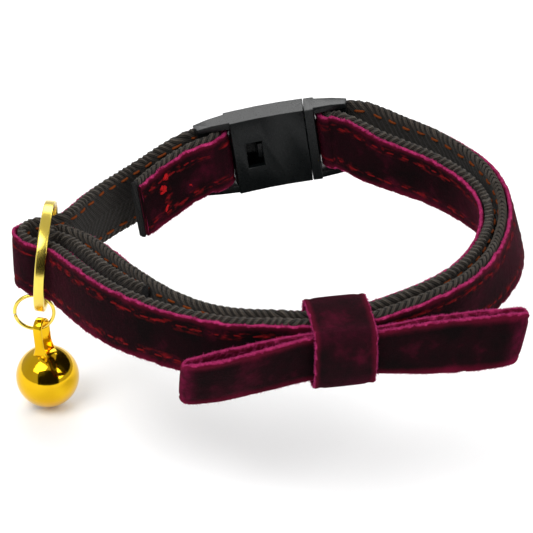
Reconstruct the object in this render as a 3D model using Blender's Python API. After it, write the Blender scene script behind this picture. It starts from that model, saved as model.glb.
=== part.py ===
"""Cat collar: velvet-faced webbing strap with a breakaway buckle, a bow, a gold ring and a bell.

Metres, +Z up. The origin is the middle of the neck hollow, and the collar is held as if worn:
the buckle is at the back (+Y), the bow at the front (-Y) and the bell hangs at the left (-X).
"""
import math

import bpy
import bmesh
from mathutils import Matrix, Vector

# Loop of the strap's outer layer, measured on the middle of its webbing
LOOP_WIDTH = 0.0880
LOOP_DEPTH = 0.0727

# Strap: webbing with a velvet ribbon sewn on its outer side
WEBBING_WIDTH = 0.0115
WEBBING_THICK = 0.0015
WEBBING_CHAMFER = 0.00035
RIBBON_WIDTH = 0.0105
RIBBON_THICK = 0.0008
FIT_GAP = 0.0003
STRAP_STEP = 0.0030

# Distance of the inner layer just beyond the buckle's right bar, in strap thicknesses
BAR_TAIL = 2.75

# Loose ends of the strap
TAB_LENGTH = 0.0230
TAB_FLARE = 0.0016
TURNED_END_LENGTH = 0.0285

# Buckle
BUCKLE_LENGTH = 0.0285
BUCKLE_HEIGHT = 0.0144
BUCKLE_THICK = 0.0054
BUCKLE_BEND_RADIUS = 0.060
BUCKLE_SEAM = 0.0062
BUCKLE_BEVEL = 0.00035
BUCKLE_STEP = 0.0046
BUCKLE_ACROSS = 0.050
BUCKLE_DEEP = 0.865
BUCKLE_LIFT = 0.157
BUCKLE_YAW = 7.5
BUCKLE_ROLL = 7.5
BUCKLE_LEAN = 4.0
HOUSING_WALL = 0.0012
HOUSING_END_WALL = 0.0015
BAR_THICK = 0.0018
BAR_CORNER_ROOM = 0.00025
BAR_WIDTH = 0.0026
BAR_OUTSET = 0.0006
RAIL_THICK = 0.0042
WINDOW_LENGTH = 0.0034
WINDOW_HEIGHT = 0.0052
WINDOW_FROM_SLOT = 0.0023
PRONG_THICK = 0.0023
TONGUE_HEIGHT = 0.0028
ARM_HEIGHT = 0.0020

# Bow and its knot
BOW_THICK = 0.0010
BOW_LEFT = 0.0276
BOW_RIGHT = 0.0305
KNOT_WIDTH = 0.0105
KNOT_THICK = 0.0009
KNOT_CORNER = 0.0015
KNOT_FRONT_DROP = 0.00045
KNOT_SLACK = 0.0005
KNOT_BACK_SLACK = 0.0010
KNOT_PINCH = 0.14

# Gold ring, jump ring and bell
RING_DIAMETER = 0.0200
RING_BAND = 0.0019
RING_WALL = 0.0008
RING_ACROSS = -0.883
RING_DEEP = -0.0060
RING_LIFT = -0.300
RING_TURN = 3.0
RING_TILT = 5.0
PENDANT_FORWARD = 12.0
JUMP_DIAMETER = 0.0078
JUMP_WIRE = 0.00075
JUMP_CUT = 0.0004
JUMP_SIDE = -0.00145
JUMP_DROP = -0.00130
BELL_DIAMETER = 0.0116
BELL_WALL = 0.00045
BELL_SLOT = 0.0011
BELL_HOLE = 0.0024
BELL_HOLE_ANGLE = 52.0
BELL_LOOP_HEIGHT = 0.0066
BELL_LOOP_WIDTH = 0.0017
BELL_LOOP_FOOT = 0.0032
BELL_LOOP_THICK = 0.0007
BELL_LOOP_INSIDE = 0.0023
BELL_SIDE = 18.0
BELL_TILT = 4.0
BELL_TURN = 22.0
BELL_SLOT_TURN = 27.0
PELLET_DIAMETER = 0.0030

# Stations of the strap's outer layer, from the buckle's left end round the front to its right end.
# across and deep are shares of half the loop's width and depth, lift is a share of the webbing's
# width, lean tips the top edge outward in degrees, and tail is the distance to the inner layer in
# strap thicknesses (0 where there is none).
STATIONS = [
    # name, across, deep, lift, lean, tail
    ("back_left_1", -0.459, 0.722, -0.262, 7.3, 0.0),
    ("back_left_2", -0.566, 0.612, -0.352, 7.0, 0.0),
    ("back_left_3", -0.662, 0.488, -0.391, 6.2, 0.0),
    ("back_left_4", -0.732, 0.350, -0.383, 5.0, 0.0),
    ("ring_side", -0.778, 0.222, -0.350, 3.0, 0.0),
    ("ring_back", -0.826, 0.134, -0.320, 1.0, 0.0),
    ("ear_back", -0.892, 0.106, -0.310, 0.0, 0.0),
    ("ear_top", -0.952, 0.085, -0.305, 0.0, 0.0),
    ("ear_tip", -0.984, 0.008, -0.300, 0.0, 0.0),
    ("ear_front", -0.959, -0.064, -0.300, 0.0, 0.0),
    ("ear_in", -0.916, -0.107, -0.300, 0.0, 0.0),
    ("ring_front", -0.875, -0.127, -0.295, -1.0, 2.35),
    ("front_left_1", -0.836, -0.157, -0.280, -1.5, 2.45),
    ("front_left_2", -0.800, -0.240, -0.240, -2.5, 2.62),
    ("front_left_bend", -0.768, -0.310, -0.195, -3.4, 2.65),
    ("front_left_3", -0.709, -0.443, -0.135, -4.5, 2.58),
    ("front_left_4", -0.632, -0.583, -0.087, -5.5, 2.55),
    ("front_left_5", -0.516, -0.737, -0.035, -6.0, 2.30),
    ("front_left_6", -0.418, -0.825, -0.017, -6.0, 1.80),
    ("front_left_7", -0.314, -0.894, -0.009, -5.5, 1.40),
    ("front_1", -0.195, -0.955, 0.0, -4.0, 1.12),
    ("front_2", -0.073, -0.990, 0.017, -2.0, 0.98),
    ("front_3", 0.080, -0.996, 0.058, 1.0, 0.86),
    ("knot", 0.295, -0.964, 0.078, 4.0, 0.80),
    ("front_right_1", 0.477, -0.902, 0.098, 7.0, 0.82),
    ("front_right_2", 0.625, -0.809, 0.139, 6.0, 0.88),
    ("front_right_3", 0.759, -0.669, 0.122, 3.0, 0.96),
    ("front_right_4", 0.845, -0.536, 0.104, -1.0, 0.98),
    ("right_1", 0.918, -0.385, 0.096, -7.0, 0.92),
    ("right_2", 0.975, -0.195, 0.087, -13.0, 0.86),
    ("right_3", 1.000, 0.014, 0.104, -15.0, 0.86),
    ("right_4", 0.984, 0.228, 0.139, -13.5, 1.00),
    ("right_5", 0.916, 0.435, 0.174, -9.0, 1.60),
    ("back_right_1", 0.809, 0.612, 0.209, -7.0, 1.95),
    ("back_right_2", 0.690, 0.745, 0.243, -4.0, 2.45),
    ("back_right_3", 0.560, 0.848, 0.255, -1.5, 2.80),
]

# Fold of the bow's band, as shares of its half length on that side. out is the middle of the two
# layers and open the distance between them, both in strap thicknesses from the knot's seat, drop
# and wide are shares of the ribbon's width, lean tips the top edge forward in degrees and slant
# tips it away from the knot.
BOW_SECTIONS = [
    # name, side, along, out, open, drop, lean, wide, slant
    ("left_fold", -1, 0.930, 1.30, 0.75, -0.07, 18.0, 0.97, 0.0),
    ("left_full", -1, 0.760, 1.05, 1.10, -0.07, 18.0, 1.00, 0.0),
    ("left_middle", -1, 0.520, 0.62, 0.90, -0.06, 15.0, 0.98, 0.0),
    ("left_knot", -1, 0.220, 0.30, 0.50, -0.02, 4.0, 0.84, 0.0),
    ("middle", 1, 0.000, 0.30, 0.50, -0.02, 4.0, 0.84, 0.0),
    ("right_knot", 1, 0.200, 0.30, 0.50, -0.02, 4.0, 0.84, 0.0),
    ("right_middle", 1, 0.480, 0.28, 0.66, -0.04, 2.0, 0.99, 0.0),
    ("right_full", 1, 0.740, 0.42, 0.72, -0.03, 1.0, 1.02, 4.0),
    ("right_fold", 1, 0.960, 0.50, 0.62, -0.01, 1.0, 0.99, 10.0),
]

STRAP_THICK = WEBBING_THICK + FIT_GAP + RIBBON_THICK
RIBBON_MIDDLE = WEBBING_THICK / 2 + FIT_GAP + RIBBON_THICK / 2
STRAP_OUTER = WEBBING_THICK / 2 + FIT_GAP + RIBBON_THICK
WRAP_RADIUS = BAR_THICK / 2 + BAR_CORNER_ROOM + FIT_GAP + WEBBING_THICK / 2
INNER_OFFSET = STRAP_OUTER + FIT_GAP + WEBBING_THICK / 2
SLOT_HALF_HEIGHT = WEBBING_WIDTH / 2 + FIT_GAP
SLOT_LENGTH = WRAP_RADIUS + STRAP_OUTER - BAR_THICK / 2 + FIT_GAP
TURN_PIECES = 8
MERGE = 0.000001
UP = Vector((0.0, 0.0, 1.0))


def make_material(name, colour, roughness, metallic=0.0):
    """Principled material with one colour."""
    material = bpy.data.materials.new(name)
    material.use_nodes = True
    shader = material.node_tree.nodes["Principled BSDF"]
    shader.inputs["Base Color"].default_value = (*colour, 1.0)
    shader.inputs["Roughness"].default_value = roughness
    shader.inputs["Metallic"].default_value = metallic
    return material


def add_object(name, mesh_data, material, location=(0.0, 0.0, 0.0), smooth_angle=40.0):
    """Link a new object, shaded smooth up to an angle. mesh_data is a bmesh in world space."""
    bmesh.ops.translate(mesh_data, verts=mesh_data.verts, vec=-Vector(location))
    bmesh.ops.recalc_face_normals(mesh_data, faces=mesh_data.faces)
    mesh = bpy.data.meshes.new(name)
    mesh_data.to_mesh(mesh)
    mesh_data.free()
    mesh.materials.append(material)
    mesh.shade_smooth()
    mesh.set_sharp_from_angle(angle=math.radians(smooth_angle))
    thing = bpy.data.objects.new(name, mesh)
    thing.location = location
    bpy.context.scene.collection.objects.link(thing)
    return thing


def spline(rows, steps):
    """Catmull-Rom curve through rows of equal length; steps gives the pieces in each span.

    Returns the sampled rows, and for each the row number it stands at, as a decimal.
    """
    samples = []
    places = []
    last = len(rows) - 1
    for index in range(last):
        before = rows[max(index - 1, 0)]
        start = rows[index]
        end = rows[index + 1]
        after = rows[min(index + 2, last)]
        count = steps[index]
        for step in range(count):
            t = step / count
            sample = []
            for a, b, c, d in zip(before, start, end, after):
                bend = (2 * a - 5 * b + 4 * c - d) * t * t + (3 * b - a - 3 * c + d) * t ** 3
                sample.append(b + 0.5 * ((c - a) * t + bend))
            samples.append(sample)
            places.append(index + t)
    samples.append(list(rows[last]))
    places.append(float(last))
    return samples, places


def eased(points, passes):
    """Points with the line's corners eased and its ends kept."""
    for _ in range(passes):
        middle = [(before + here * 2 + after) / 4
                  for before, here, after in zip(points, points[1:], points[2:])]
        points = [points[0]] + middle + [points[-1]]
    return points


def upright_frame(tangent, lean):
    """Outward and up directions of an upright band that runs anticlockwise along tangent."""
    outward = tangent.cross(UP).normalized()
    up = outward.cross(tangent).normalized()
    angle = math.radians(lean)
    if up.z < 0:
        up.negate()
    tipped_up = up * math.cos(angle) + outward * math.sin(angle)
    tipped_out = outward * math.cos(angle) - up * math.sin(angle)
    return tipped_out, tipped_up


def rounded_rectangle(depth, height, chamfer):
    """Eight-sided outline, depth along the first axis and height along the second."""
    a = depth / 2
    b = height / 2
    c = min(chamfer, a * 0.9, b * 0.9)
    return [(a, -b + c), (a, b - c), (a - c, b), (-a + c, b),
            (-a, b - c), (-a, -b + c), (-a + c, -b), (a - c, -b)]


def sweep(sections, closed=False):
    """Skin a row of sections, each a list of points of the same number, and close the ends."""
    body = bmesh.new()
    rings = [[body.verts.new(point) for point in section] for section in sections]
    count = len(rings[0])
    spans = len(rings) if closed else len(rings) - 1
    for index in range(spans):
        one = rings[index]
        two = rings[(index + 1) % len(rings)]
        for k in range(count):
            body.faces.new((one[k], one[(k + 1) % count], two[(k + 1) % count], two[k]))
    if not closed:
        body.faces.new(rings[0])
        body.faces.new(rings[-1])
    return body


def band_sections(path, outline, shift=0.0):
    """Sections of a band along a path of (point, outward, up), shifted along outward."""
    return [[point + outward * (shift + a) + up * b for a, b in outline]
            for point, outward, up in path]


def half_turn(centre, start, forward, up, radius):
    """Points and up directions between the ends of a half turn from start towards forward."""
    turn = []
    for step in range(1, TURN_PIECES):
        angle = math.pi * step / TURN_PIECES
        offset = start * math.cos(angle) + forward * math.sin(angle)
        turn.append((centre + offset * radius, up))
    return turn


class BuckleFrame:
    """Place of the buckle: run goes left to right, out away from the neck, up along its height."""

    def __init__(self):
        yaw = Matrix.Rotation(math.radians(BUCKLE_YAW), 3, "Z")
        roll = Matrix.Rotation(math.radians(-BUCKLE_ROLL), 3, "Y")
        lean = Matrix.Rotation(math.radians(-BUCKLE_LEAN), 3, "X")
        turn = yaw @ roll @ lean
        self.run = turn @ Vector((1.0, 0.0, 0.0))
        self.out = turn @ Vector((0.0, 1.0, 0.0))
        self.up = turn @ Vector((0.0, 0.0, 1.0))
        self.origin = Vector((BUCKLE_ACROSS * LOOP_WIDTH / 2, BUCKLE_DEEP * LOOP_DEPTH / 2,
                              BUCKLE_LIFT * WEBBING_WIDTH))

    def bend(self, x, y):
        """Place on the curved middle plane of a point x along and y out."""
        angle = x / BUCKLE_BEND_RADIUS
        radius = BUCKLE_BEND_RADIUS + y
        along = math.sin(angle) * radius
        outward = math.cos(angle) * radius - BUCKLE_BEND_RADIUS
        return along, outward

    def point(self, x, y, z):
        along, outward = self.bend(x, y)
        return self.origin + self.run * along + self.out * outward + self.up * z

    def directions(self, x):
        """Run and outward directions where the curved buckle is x along."""
        angle = x / BUCKLE_BEND_RADIUS
        run = self.run * math.cos(angle) - self.out * math.sin(angle)
        out = self.out * math.cos(angle) + self.run * math.sin(angle)
        return run, out


def bar_turn_x():
    """Distance from the buckle's middle to the centre of the strap's turn round a bar."""
    return BUCKLE_LENGTH / 2 - BAR_WIDTH + BAR_THICK / 2


def outer_layer(buckle):
    """Path of the strap's outer layer from the left bar to the right bar, with the tail distance."""
    ends = []
    for side in (-1, 1):
        row_pair = []
        for x, tail in ((bar_turn_x(), 2 * WRAP_RADIUS),
                        (BUCKLE_LENGTH / 2 + WRAP_RADIUS, BAR_TAIL * STRAP_THICK)):
            place = buckle.point(side * x, BAR_OUTSET + WRAP_RADIUS, 0.0)
            row_pair.append([*place, BUCKLE_LEAN, tail])
        ends.append(row_pair)
    rows = list(ends[0])
    for name, across, deep, lift, lean, tail in STATIONS:
        rows.append([across * LOOP_WIDTH / 2, deep * LOOP_DEPTH / 2, lift * WEBBING_WIDTH,
                     lean, tail * STRAP_THICK])
    rows.extend(reversed(ends[1]))
    steps = []
    for one, two in zip(rows, rows[1:]):
        length = (Vector(two[:3]) - Vector(one[:3])).length
        steps.append(max(2, round(length / STRAP_STEP)))
    samples, places = spline(rows, steps)
    points = eased([Vector(sample[:3]) for sample in samples], 2)
    path = []
    last = len(points) - 1
    for index, sample in enumerate(samples):
        tangent = (points[min(index + 1, last)] - points[max(index - 1, 0)]).normalized()
        outward, up = upright_frame(tangent, sample[3])
        path.append((points[index], outward, up, tangent, sample[4], places[index] - 2))
    return path


def station_number(name):
    return [row[0] for row in STATIONS].index(name)


def station(path, name):
    """Point, outward, up and run directions of the outer layer at a named station."""
    number = station_number(name)
    nearest = min(path, key=lambda sample: abs(sample[5] - number))
    return nearest[:4]


def run_lengths(path):
    """Distance of each sample from the path's start."""
    total = 0.0
    lengths = [0.0]
    for one, two in zip(path, path[1:]):
        total += (two[0] - one[0]).length
        lengths.append(total)
    return lengths


def strap_path(outer, buckle):
    """Whole strap: tab, left wrap, outer layer, right wrap, tail, hairpin and turned end.

    Each sample is (point, side, up), where side is the direction that the ribbon faces.
    """
    lengths = run_lengths(outer)
    line = []
    tab = []
    for sample, length in zip(outer, lengths):
        if length > TAB_LENGTH:
            break
        share = length / TAB_LENGTH
        offset = 2 * WRAP_RADIUS + TAB_FLARE * share ** 3
        tab.append((sample[0] - sample[1] * offset, sample[2]))
    line.extend(reversed(tab))
    for side in (-1, 1):
        x = side * bar_turn_x()
        centre = buckle.point(x, BAR_OUTSET, 0.0)
        run, out = buckle.directions(x)
        line.extend(half_turn(centre, out * side, run * -side, buckle.up, WRAP_RADIUS))
        if side < 0:
            line.extend((sample[0], sample[2]) for sample in outer)
    tail = [sample for sample in outer if sample[5] >= station_number("ring_front")]
    inner = eased([sample[0] - sample[1] * sample[4] for sample in reversed(tail)], 4)
    line.extend(zip(inner, [sample[2] for sample in reversed(tail)]))
    last = tail[0]
    turned_offset = INNER_OFFSET + RIBBON_THICK
    radius = (last[4] - turned_offset) / 2
    centre = last[0] - last[1] * (last[4] + turned_offset) / 2
    line.extend(half_turn(centre, -last[1], -last[3], last[2], radius))
    begin = lengths[outer.index(last)]
    line.extend((sample[0] - sample[1] * turned_offset, sample[2])
                for sample, length in zip(outer, lengths)
                if begin <= length <= begin + TURNED_END_LENGTH)
    knot = station(outer, "knot")[0]
    path = []
    for index, (point, up) in enumerate(line):
        before = line[max(index - 1, 0)][0]
        after = line[min(index + 1, len(line) - 1)][0]
        side = (after - before).cross(up).normalized()
        near = max(0.0, 1 - ((point - knot).length / KNOT_WIDTH) ** 2)
        path.append((point, side, up * (1 - KNOT_PINCH * near)))
    return path


def build_strap(path, webbing_material, velvet_material):
    """Webbing and, a gap away on its outer side, the velvet ribbon."""
    webbing_outline = rounded_rectangle(WEBBING_THICK, WEBBING_WIDTH, WEBBING_CHAMFER)
    add_object("webbing_strap", sweep(band_sections(path, webbing_outline)), webbing_material)
    half_thick = RIBBON_THICK / 2
    half_width = RIBBON_WIDTH / 2
    ribbon_outline = [(half_thick, -half_width), (half_thick, half_width),
                      (-half_thick, half_width), (-half_thick, -half_width)]
    sections = band_sections(path, ribbon_outline, RIBBON_MIDDLE)
    add_object("velvet_ribbon", sweep(sections), velvet_material)


def cell_solid(xs, ys, zs, filled):
    """Closed mesh round the filled cells of a grid; filled takes the middle of a cell."""
    body = bmesh.new()
    corners = {}

    def corner(i, j, k):
        if (i, j, k) not in corners:
            corners[(i, j, k)] = body.verts.new((xs[i], ys[j], zs[k]))
        return corners[(i, j, k)]

    def is_filled(i, j, k):
        if not (0 <= i < len(xs) - 1 and 0 <= j < len(ys) - 1 and 0 <= k < len(zs) - 1):
            return False
        return filled((xs[i] + xs[i + 1]) / 2, (ys[j] + ys[j + 1]) / 2, (zs[k] + zs[k + 1]) / 2)

    sides = [((-1, 0, 0), ((0, 0, 0), (0, 0, 1), (0, 1, 1), (0, 1, 0))),
             ((1, 0, 0), ((1, 0, 0), (1, 1, 0), (1, 1, 1), (1, 0, 1))),
             ((0, -1, 0), ((0, 0, 0), (1, 0, 0), (1, 0, 1), (0, 0, 1))),
             ((0, 1, 0), ((0, 1, 0), (0, 1, 1), (1, 1, 1), (1, 1, 0))),
             ((0, 0, -1), ((0, 0, 0), (0, 1, 0), (1, 1, 0), (1, 0, 0))),
             ((0, 0, 1), ((0, 0, 1), (1, 0, 1), (1, 1, 1), (0, 1, 1)))]
    for i in range(len(xs) - 1):
        for j in range(len(ys) - 1):
            for k in range(len(zs) - 1):
                if not is_filled(i, j, k):
                    continue
                for (di, dj, dk), square in sides:
                    if not is_filled(i + di, j + dj, k + dk):
                        body.faces.new([corner(i + a, j + b, k + c) for a, b, c in square])
    return body


def breaks(values, longest):
    """Sorted values with more between them, so that no step is longer than longest."""
    ordered = sorted(set(values))
    result = [ordered[0]]
    for one, two in zip(ordered, ordered[1:]):
        count = max(1, math.ceil((two - one) / longest - 0.001))
        result.extend(one + (two - one) * step / count for step in range(1, count + 1))
    return result


def mirrored(values):
    return sorted({value * side for value in values for side in (-1, 1)})


def finish_buckle_half(name, body, buckle, material):
    """Taper the rails, bend the half round the neck and round its edges."""
    for vert in body.verts:
        x, y, z = vert.co
        beyond = abs(x) - (BUCKLE_LENGTH / 2 - BAR_WIDTH - SLOT_LENGTH)
        if beyond > 0:
            share = beyond / (BAR_WIDTH + SLOT_LENGTH)
            if abs(z) > SLOT_HALF_HEIGHT + MERGE:
                rail = BUCKLE_HEIGHT / 2 - SLOT_HALF_HEIGHT
                z = math.copysign(abs(z) - rail * 0.35 * share ** 2, z)
            if abs(y - BAR_OUTSET) > BAR_THICK / 2 + MERGE:
                spare = abs(y - BAR_OUTSET) - BAR_THICK / 2
                y = BAR_OUTSET + math.copysign(BAR_THICK / 2 + spare * (1 - 0.75 * share),
                                               y - BAR_OUTSET)
        vert.co = buckle.point(x, y, z)
    half = add_object(name, body, material)
    bevel = half.modifiers.new("edges", "BEVEL")
    bevel.width = BUCKLE_BEVEL
    bevel.segments = 1
    bevel.limit_method = "ANGLE"
    bevel.angle_limit = math.radians(50.0)
    return half


def build_buckle(buckle, material):
    """Two halves of the breakaway buckle, each with a bar for the strap."""
    end = BUCKLE_LENGTH / 2
    bar_in = end - BAR_WIDTH
    slot_in = bar_in - SLOT_LENGTH
    outer_y = BUCKLE_THICK / 2
    cavity_y = outer_y - HOUSING_WALL
    bar_low = BAR_OUTSET - BAR_THICK / 2
    bar_high = BAR_OUTSET + BAR_THICK / 2
    rail_y = RAIL_THICK / 2
    top = BUCKLE_HEIGHT / 2
    cavity_top = top - HOUSING_WALL
    window_from = -slot_in + WINDOW_FROM_SLOT
    window_to = window_from + WINDOW_LENGTH
    window_top = WINDOW_HEIGHT / 2
    cavity_from = -slot_in + HOUSING_END_WALL
    longest = BUCKLE_STEP

    def rail_or_bar(x, y, z):
        if abs(z) > SLOT_HALF_HEIGHT:
            return abs(y) < rail_y
        return abs(x) > bar_in and bar_low < y < bar_high

    def socket_filled(x, y, z):
        if x < -slot_in:
            return rail_or_bar(x, y, z)
        if y < -cavity_y and window_from < x < window_to and abs(z) < window_top:
            return False
        in_cavity = x > cavity_from and abs(y) < cavity_y and abs(z) < cavity_top
        return not in_cavity

    prong_y = PRONG_THICK / 2
    arm_top = cavity_top - FIT_GAP
    arm_bottom = arm_top - ARM_HEIGHT
    tongue_top = TONGUE_HEIGHT / 2
    tongue_end = window_to - WINDOW_LENGTH * 0.25
    arm_end = tongue_end + WINDOW_LENGTH
    shoulder = BUCKLE_SEAM + FIT_GAP

    def plug_filled(x, y, z):
        if x > slot_in:
            return rail_or_bar(x, y, z)
        if x > shoulder:
            return True
        if abs(y) > prong_y:
            return False
        if abs(z) < tongue_top:
            return x > tongue_end
        return arm_bottom < abs(z) < arm_top and x > arm_end

    xs = breaks([-end, -bar_in, -slot_in, cavity_from, window_from, window_to, BUCKLE_SEAM], longest)
    ys = sorted({-outer_y, -rail_y, -cavity_y, bar_low, bar_high, cavity_y, rail_y, outer_y})
    zs = mirrored([top, cavity_top, SLOT_HALF_HEIGHT, window_top])
    finish_buckle_half("buckle_socket", cell_solid(xs, ys, zs, socket_filled), buckle, material)
    xs = breaks([tongue_end, arm_end, shoulder, slot_in, bar_in, end], longest)
    ys = sorted({-outer_y, -rail_y, -prong_y, bar_low, bar_high, prong_y, rail_y, outer_y})
    zs = mirrored([top, SLOT_HALF_HEIGHT, arm_top, arm_bottom, tongue_top])
    finish_buckle_half("buckle_plug", cell_solid(xs, ys, zs, plug_filled), buckle, material)


def bow_frame(outer):
    """Knot's place on the strap, level directions to the right and to the front, and outward."""
    place, outward, _, run = station(outer, "knot")
    level_run = Vector((run.x, run.y, 0.0)).normalized()
    level_out = level_run.cross(UP).normalized()
    return place, level_run, level_out, outward


def bow_rows():
    """Rows of the bow's table in metres and degrees."""
    seat = STRAP_OUTER + FIT_GAP + BOW_THICK / 2
    rows = []
    for name, side, along, middle, gap, drop, lean, wide, slant in BOW_SECTIONS:
        reach = side * (BOW_LEFT if side < 0 else BOW_RIGHT)
        rows.append([along * reach, seat + middle * STRAP_THICK, gap * STRAP_THICK,
                     drop * RIBBON_WIDTH, lean, wide * RIBBON_WIDTH / 2, side * slant])
    return rows


def build_bow(outer, material):
    """One closed band of ribbon: the front layer to the right, the back layer back to the left."""
    place, run, out, _ = bow_frame(outer)
    rows = bow_rows()
    samples, _ = spline(rows, [3] * (len(rows) - 1))

    def band_point(sample, side):
        along, middle, gap, lift, lean, half_width, slant = sample
        angle = math.radians(lean)
        up = UP * math.cos(angle) + out * math.sin(angle) + run * math.tan(math.radians(slant))
        side_out = out * math.cos(angle) - UP * math.sin(angle)
        centre = place + run * along + out * (middle + side * gap / 2) + UP * lift
        return centre, side_out * side, up * half_width

    path = [band_point(sample, 1) for sample in samples]
    for sample, tip, direction in ((samples[-1], BOW_RIGHT, 1), (samples[0], -BOW_LEFT, -1)):
        front, _, up = band_point(sample, 1)
        back, _, _ = band_point(sample, -1)
        centre = (front + back) / 2
        depth = (tip - sample[0]) * direction
        start = (front - back) * direction / 2
        for step in range(1, 6):
            angle = math.pi * step / 6
            offset = start * math.cos(angle) + run * direction * depth * math.sin(angle)
            normal = (start.normalized() * math.cos(angle)
                      + run * direction * math.sin(angle)).normalized()
            path.append((centre + offset, normal, up))
        if direction > 0:
            path.extend(band_point(inner, -1) for inner in reversed(samples))
    half_thick = BOW_THICK / 2
    outline = [(half_thick, -1.0), (half_thick, 1.0), (-half_thick, 1.0), (-half_thick, -1.0)]
    add_object("bow_loops", sweep(band_sections(path, outline), closed=True), material)


def build_knot(outer, material):
    """Band round the bow's middle and both layers of the strap."""
    place, run, out, outward = bow_frame(outer)
    lean = math.asin(max(-1.0, min(1.0, -outward.z)))
    up = UP * math.cos(lean) + out * math.sin(lean)
    outward = out * math.cos(lean) - UP * math.sin(lean)
    tail = STATIONS[station_number("knot")][5] * STRAP_THICK
    middle = bow_rows()[4]
    bow_front = middle[1] + middle[2] / 2 + BOW_THICK / 2
    low = -tail - STRAP_OUTER - KNOT_BACK_SLACK - KNOT_THICK / 2
    high = bow_front + FIT_GAP + KNOT_THICK / 2
    half_height = WEBBING_WIDTH / 2 * (1 - KNOT_PINCH * 0.75) + KNOT_SLACK + KNOT_THICK / 2
    bow_bottom = middle[3] - middle[5] - KNOT_SLACK - FIT_GAP - KNOT_THICK / 2
    corners = [(high, half_height - KNOT_FRONT_DROP, 0), (low, half_height, 90),
               (low, -half_height, 180), (high, bow_bottom, 270)]
    radius = KNOT_CORNER
    path = []
    for out_at, up_at, first in corners:
        centre_out = out_at - math.copysign(radius, out_at - (low + high) / 2)
        centre_up = up_at - math.copysign(radius, up_at)
        for step in range(5):
            angle = math.radians(first + 90 * step / 4)
            normal = outward * math.cos(angle) + up * math.sin(angle)
            point = place + outward * centre_out + up * centre_up + normal * radius
            path.append((point, normal, run))
    half_thick = KNOT_THICK / 2
    half_width = KNOT_WIDTH / 2
    outline = [(half_thick, -half_width), (half_thick, half_width),
               (-half_thick, half_width), (-half_thick, -half_width)]
    add_object("bow_knot", sweep(band_sections(path, outline), closed=True), material)


def ring_frame():
    """Centre, level direction, upward direction and normal of the gold ring."""
    centre = Vector((RING_ACROSS * LOOP_WIDTH / 2, RING_DEEP * LOOP_DEPTH / 2,
                     RING_LIFT * WEBBING_WIDTH))
    turn = math.radians(RING_TURN)
    level = Vector((math.sin(turn), math.cos(turn), 0.0))
    side = level.cross(UP).normalized()
    angle = math.radians(RING_TILT)
    rise = UP * math.cos(angle) + side * math.sin(angle)
    return centre, level, rise, level.cross(rise).normalized()


def circle_sections(centre, one, two, normal, radius, outline, angles):
    """Sections of a ring: outline runs outward along the radius and then along the normal."""
    sections = []
    for angle in angles:
        direction = one * math.cos(angle) + two * math.sin(angle)
        point = centre + direction * radius
        sections.append([point + direction * a + normal * b for a, b in outline])
    return sections


def build_gold_ring(material):
    centre, level, rise, normal = ring_frame()
    outline = rounded_rectangle(RING_WALL, RING_BAND, RING_WALL * 0.32)
    middle = (RING_DIAMETER - RING_WALL) / 2
    angles = [2 * math.pi * step / 40 for step in range(40)]
    sections = circle_sections(centre, level, rise, normal, middle, outline, angles)
    add_object("gold_ring", sweep(sections, closed=True), material)


def pendant_places():
    """Pivots of the jump ring and the bell, with the jump ring's centre and middle radius."""
    centre, level, rise, _ = ring_frame()
    radius = (JUMP_DIAMETER - JUMP_WIRE) / 2
    forward = math.radians(PENDANT_FORWARD)
    down = -rise * math.cos(forward) - level * math.sin(forward)
    jump_pivot = centre + down * (RING_DIAMETER - RING_WALL) / 2
    jump_centre = jump_pivot + Vector((JUMP_SIDE, 0.0, JUMP_DROP))
    side = math.radians(BELL_SIDE)
    bell_pivot = jump_centre + Vector((math.sin(side), 0.0, -math.cos(side))) * radius
    return jump_pivot, jump_centre, radius, bell_pivot


def build_jump_ring(material):
    """Round wire ring, cut at its left side."""
    pivot, centre, radius, _ = pendant_places()
    half_cut = JUMP_CUT / 2 / radius
    first = math.pi + 0.15 + half_cut
    span = 2 * math.pi - 2 * half_cut
    angles = [first + span * step / 16 for step in range(17)]
    wire = [(math.cos(math.pi * k / 3) * JUMP_WIRE / 2, math.sin(math.pi * k / 3) * JUMP_WIRE / 2)
            for k in range(6)]
    right = Vector((1.0, 0.0, 0.0))
    front = Vector((0.0, -1.0, 0.0))
    sections = circle_sections(centre, right, UP, front, radius, wire, angles)
    add_object("jump_ring", sweep(sections), material, location=pivot)


def ball(radius, segments, rings, centre):
    body = bmesh.new()
    bmesh.ops.create_uvsphere(body, u_segments=segments, v_segments=rings, radius=radius)
    bmesh.ops.translate(body, verts=body.verts, vec=centre)
    return body


def cutter(name, body, turn):
    """Hidden tool body for a boolean, turned into place."""
    bmesh.ops.recalc_face_normals(body, faces=body.faces)
    mesh = bpy.data.meshes.new(name)
    body.to_mesh(mesh)
    body.free()
    tool = bpy.data.objects.new(name, mesh)
    tool.matrix_world = turn
    tool.hide_render = True
    tool.display_type = "WIRE"
    bpy.context.scene.collection.objects.link(tool)
    return tool


def add_boolean(thing, tool, operation):
    step = thing.modifiers.new(tool.name, "BOOLEAN")
    step.operation = operation
    step.solver = "EXACT"
    step.object = tool


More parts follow.
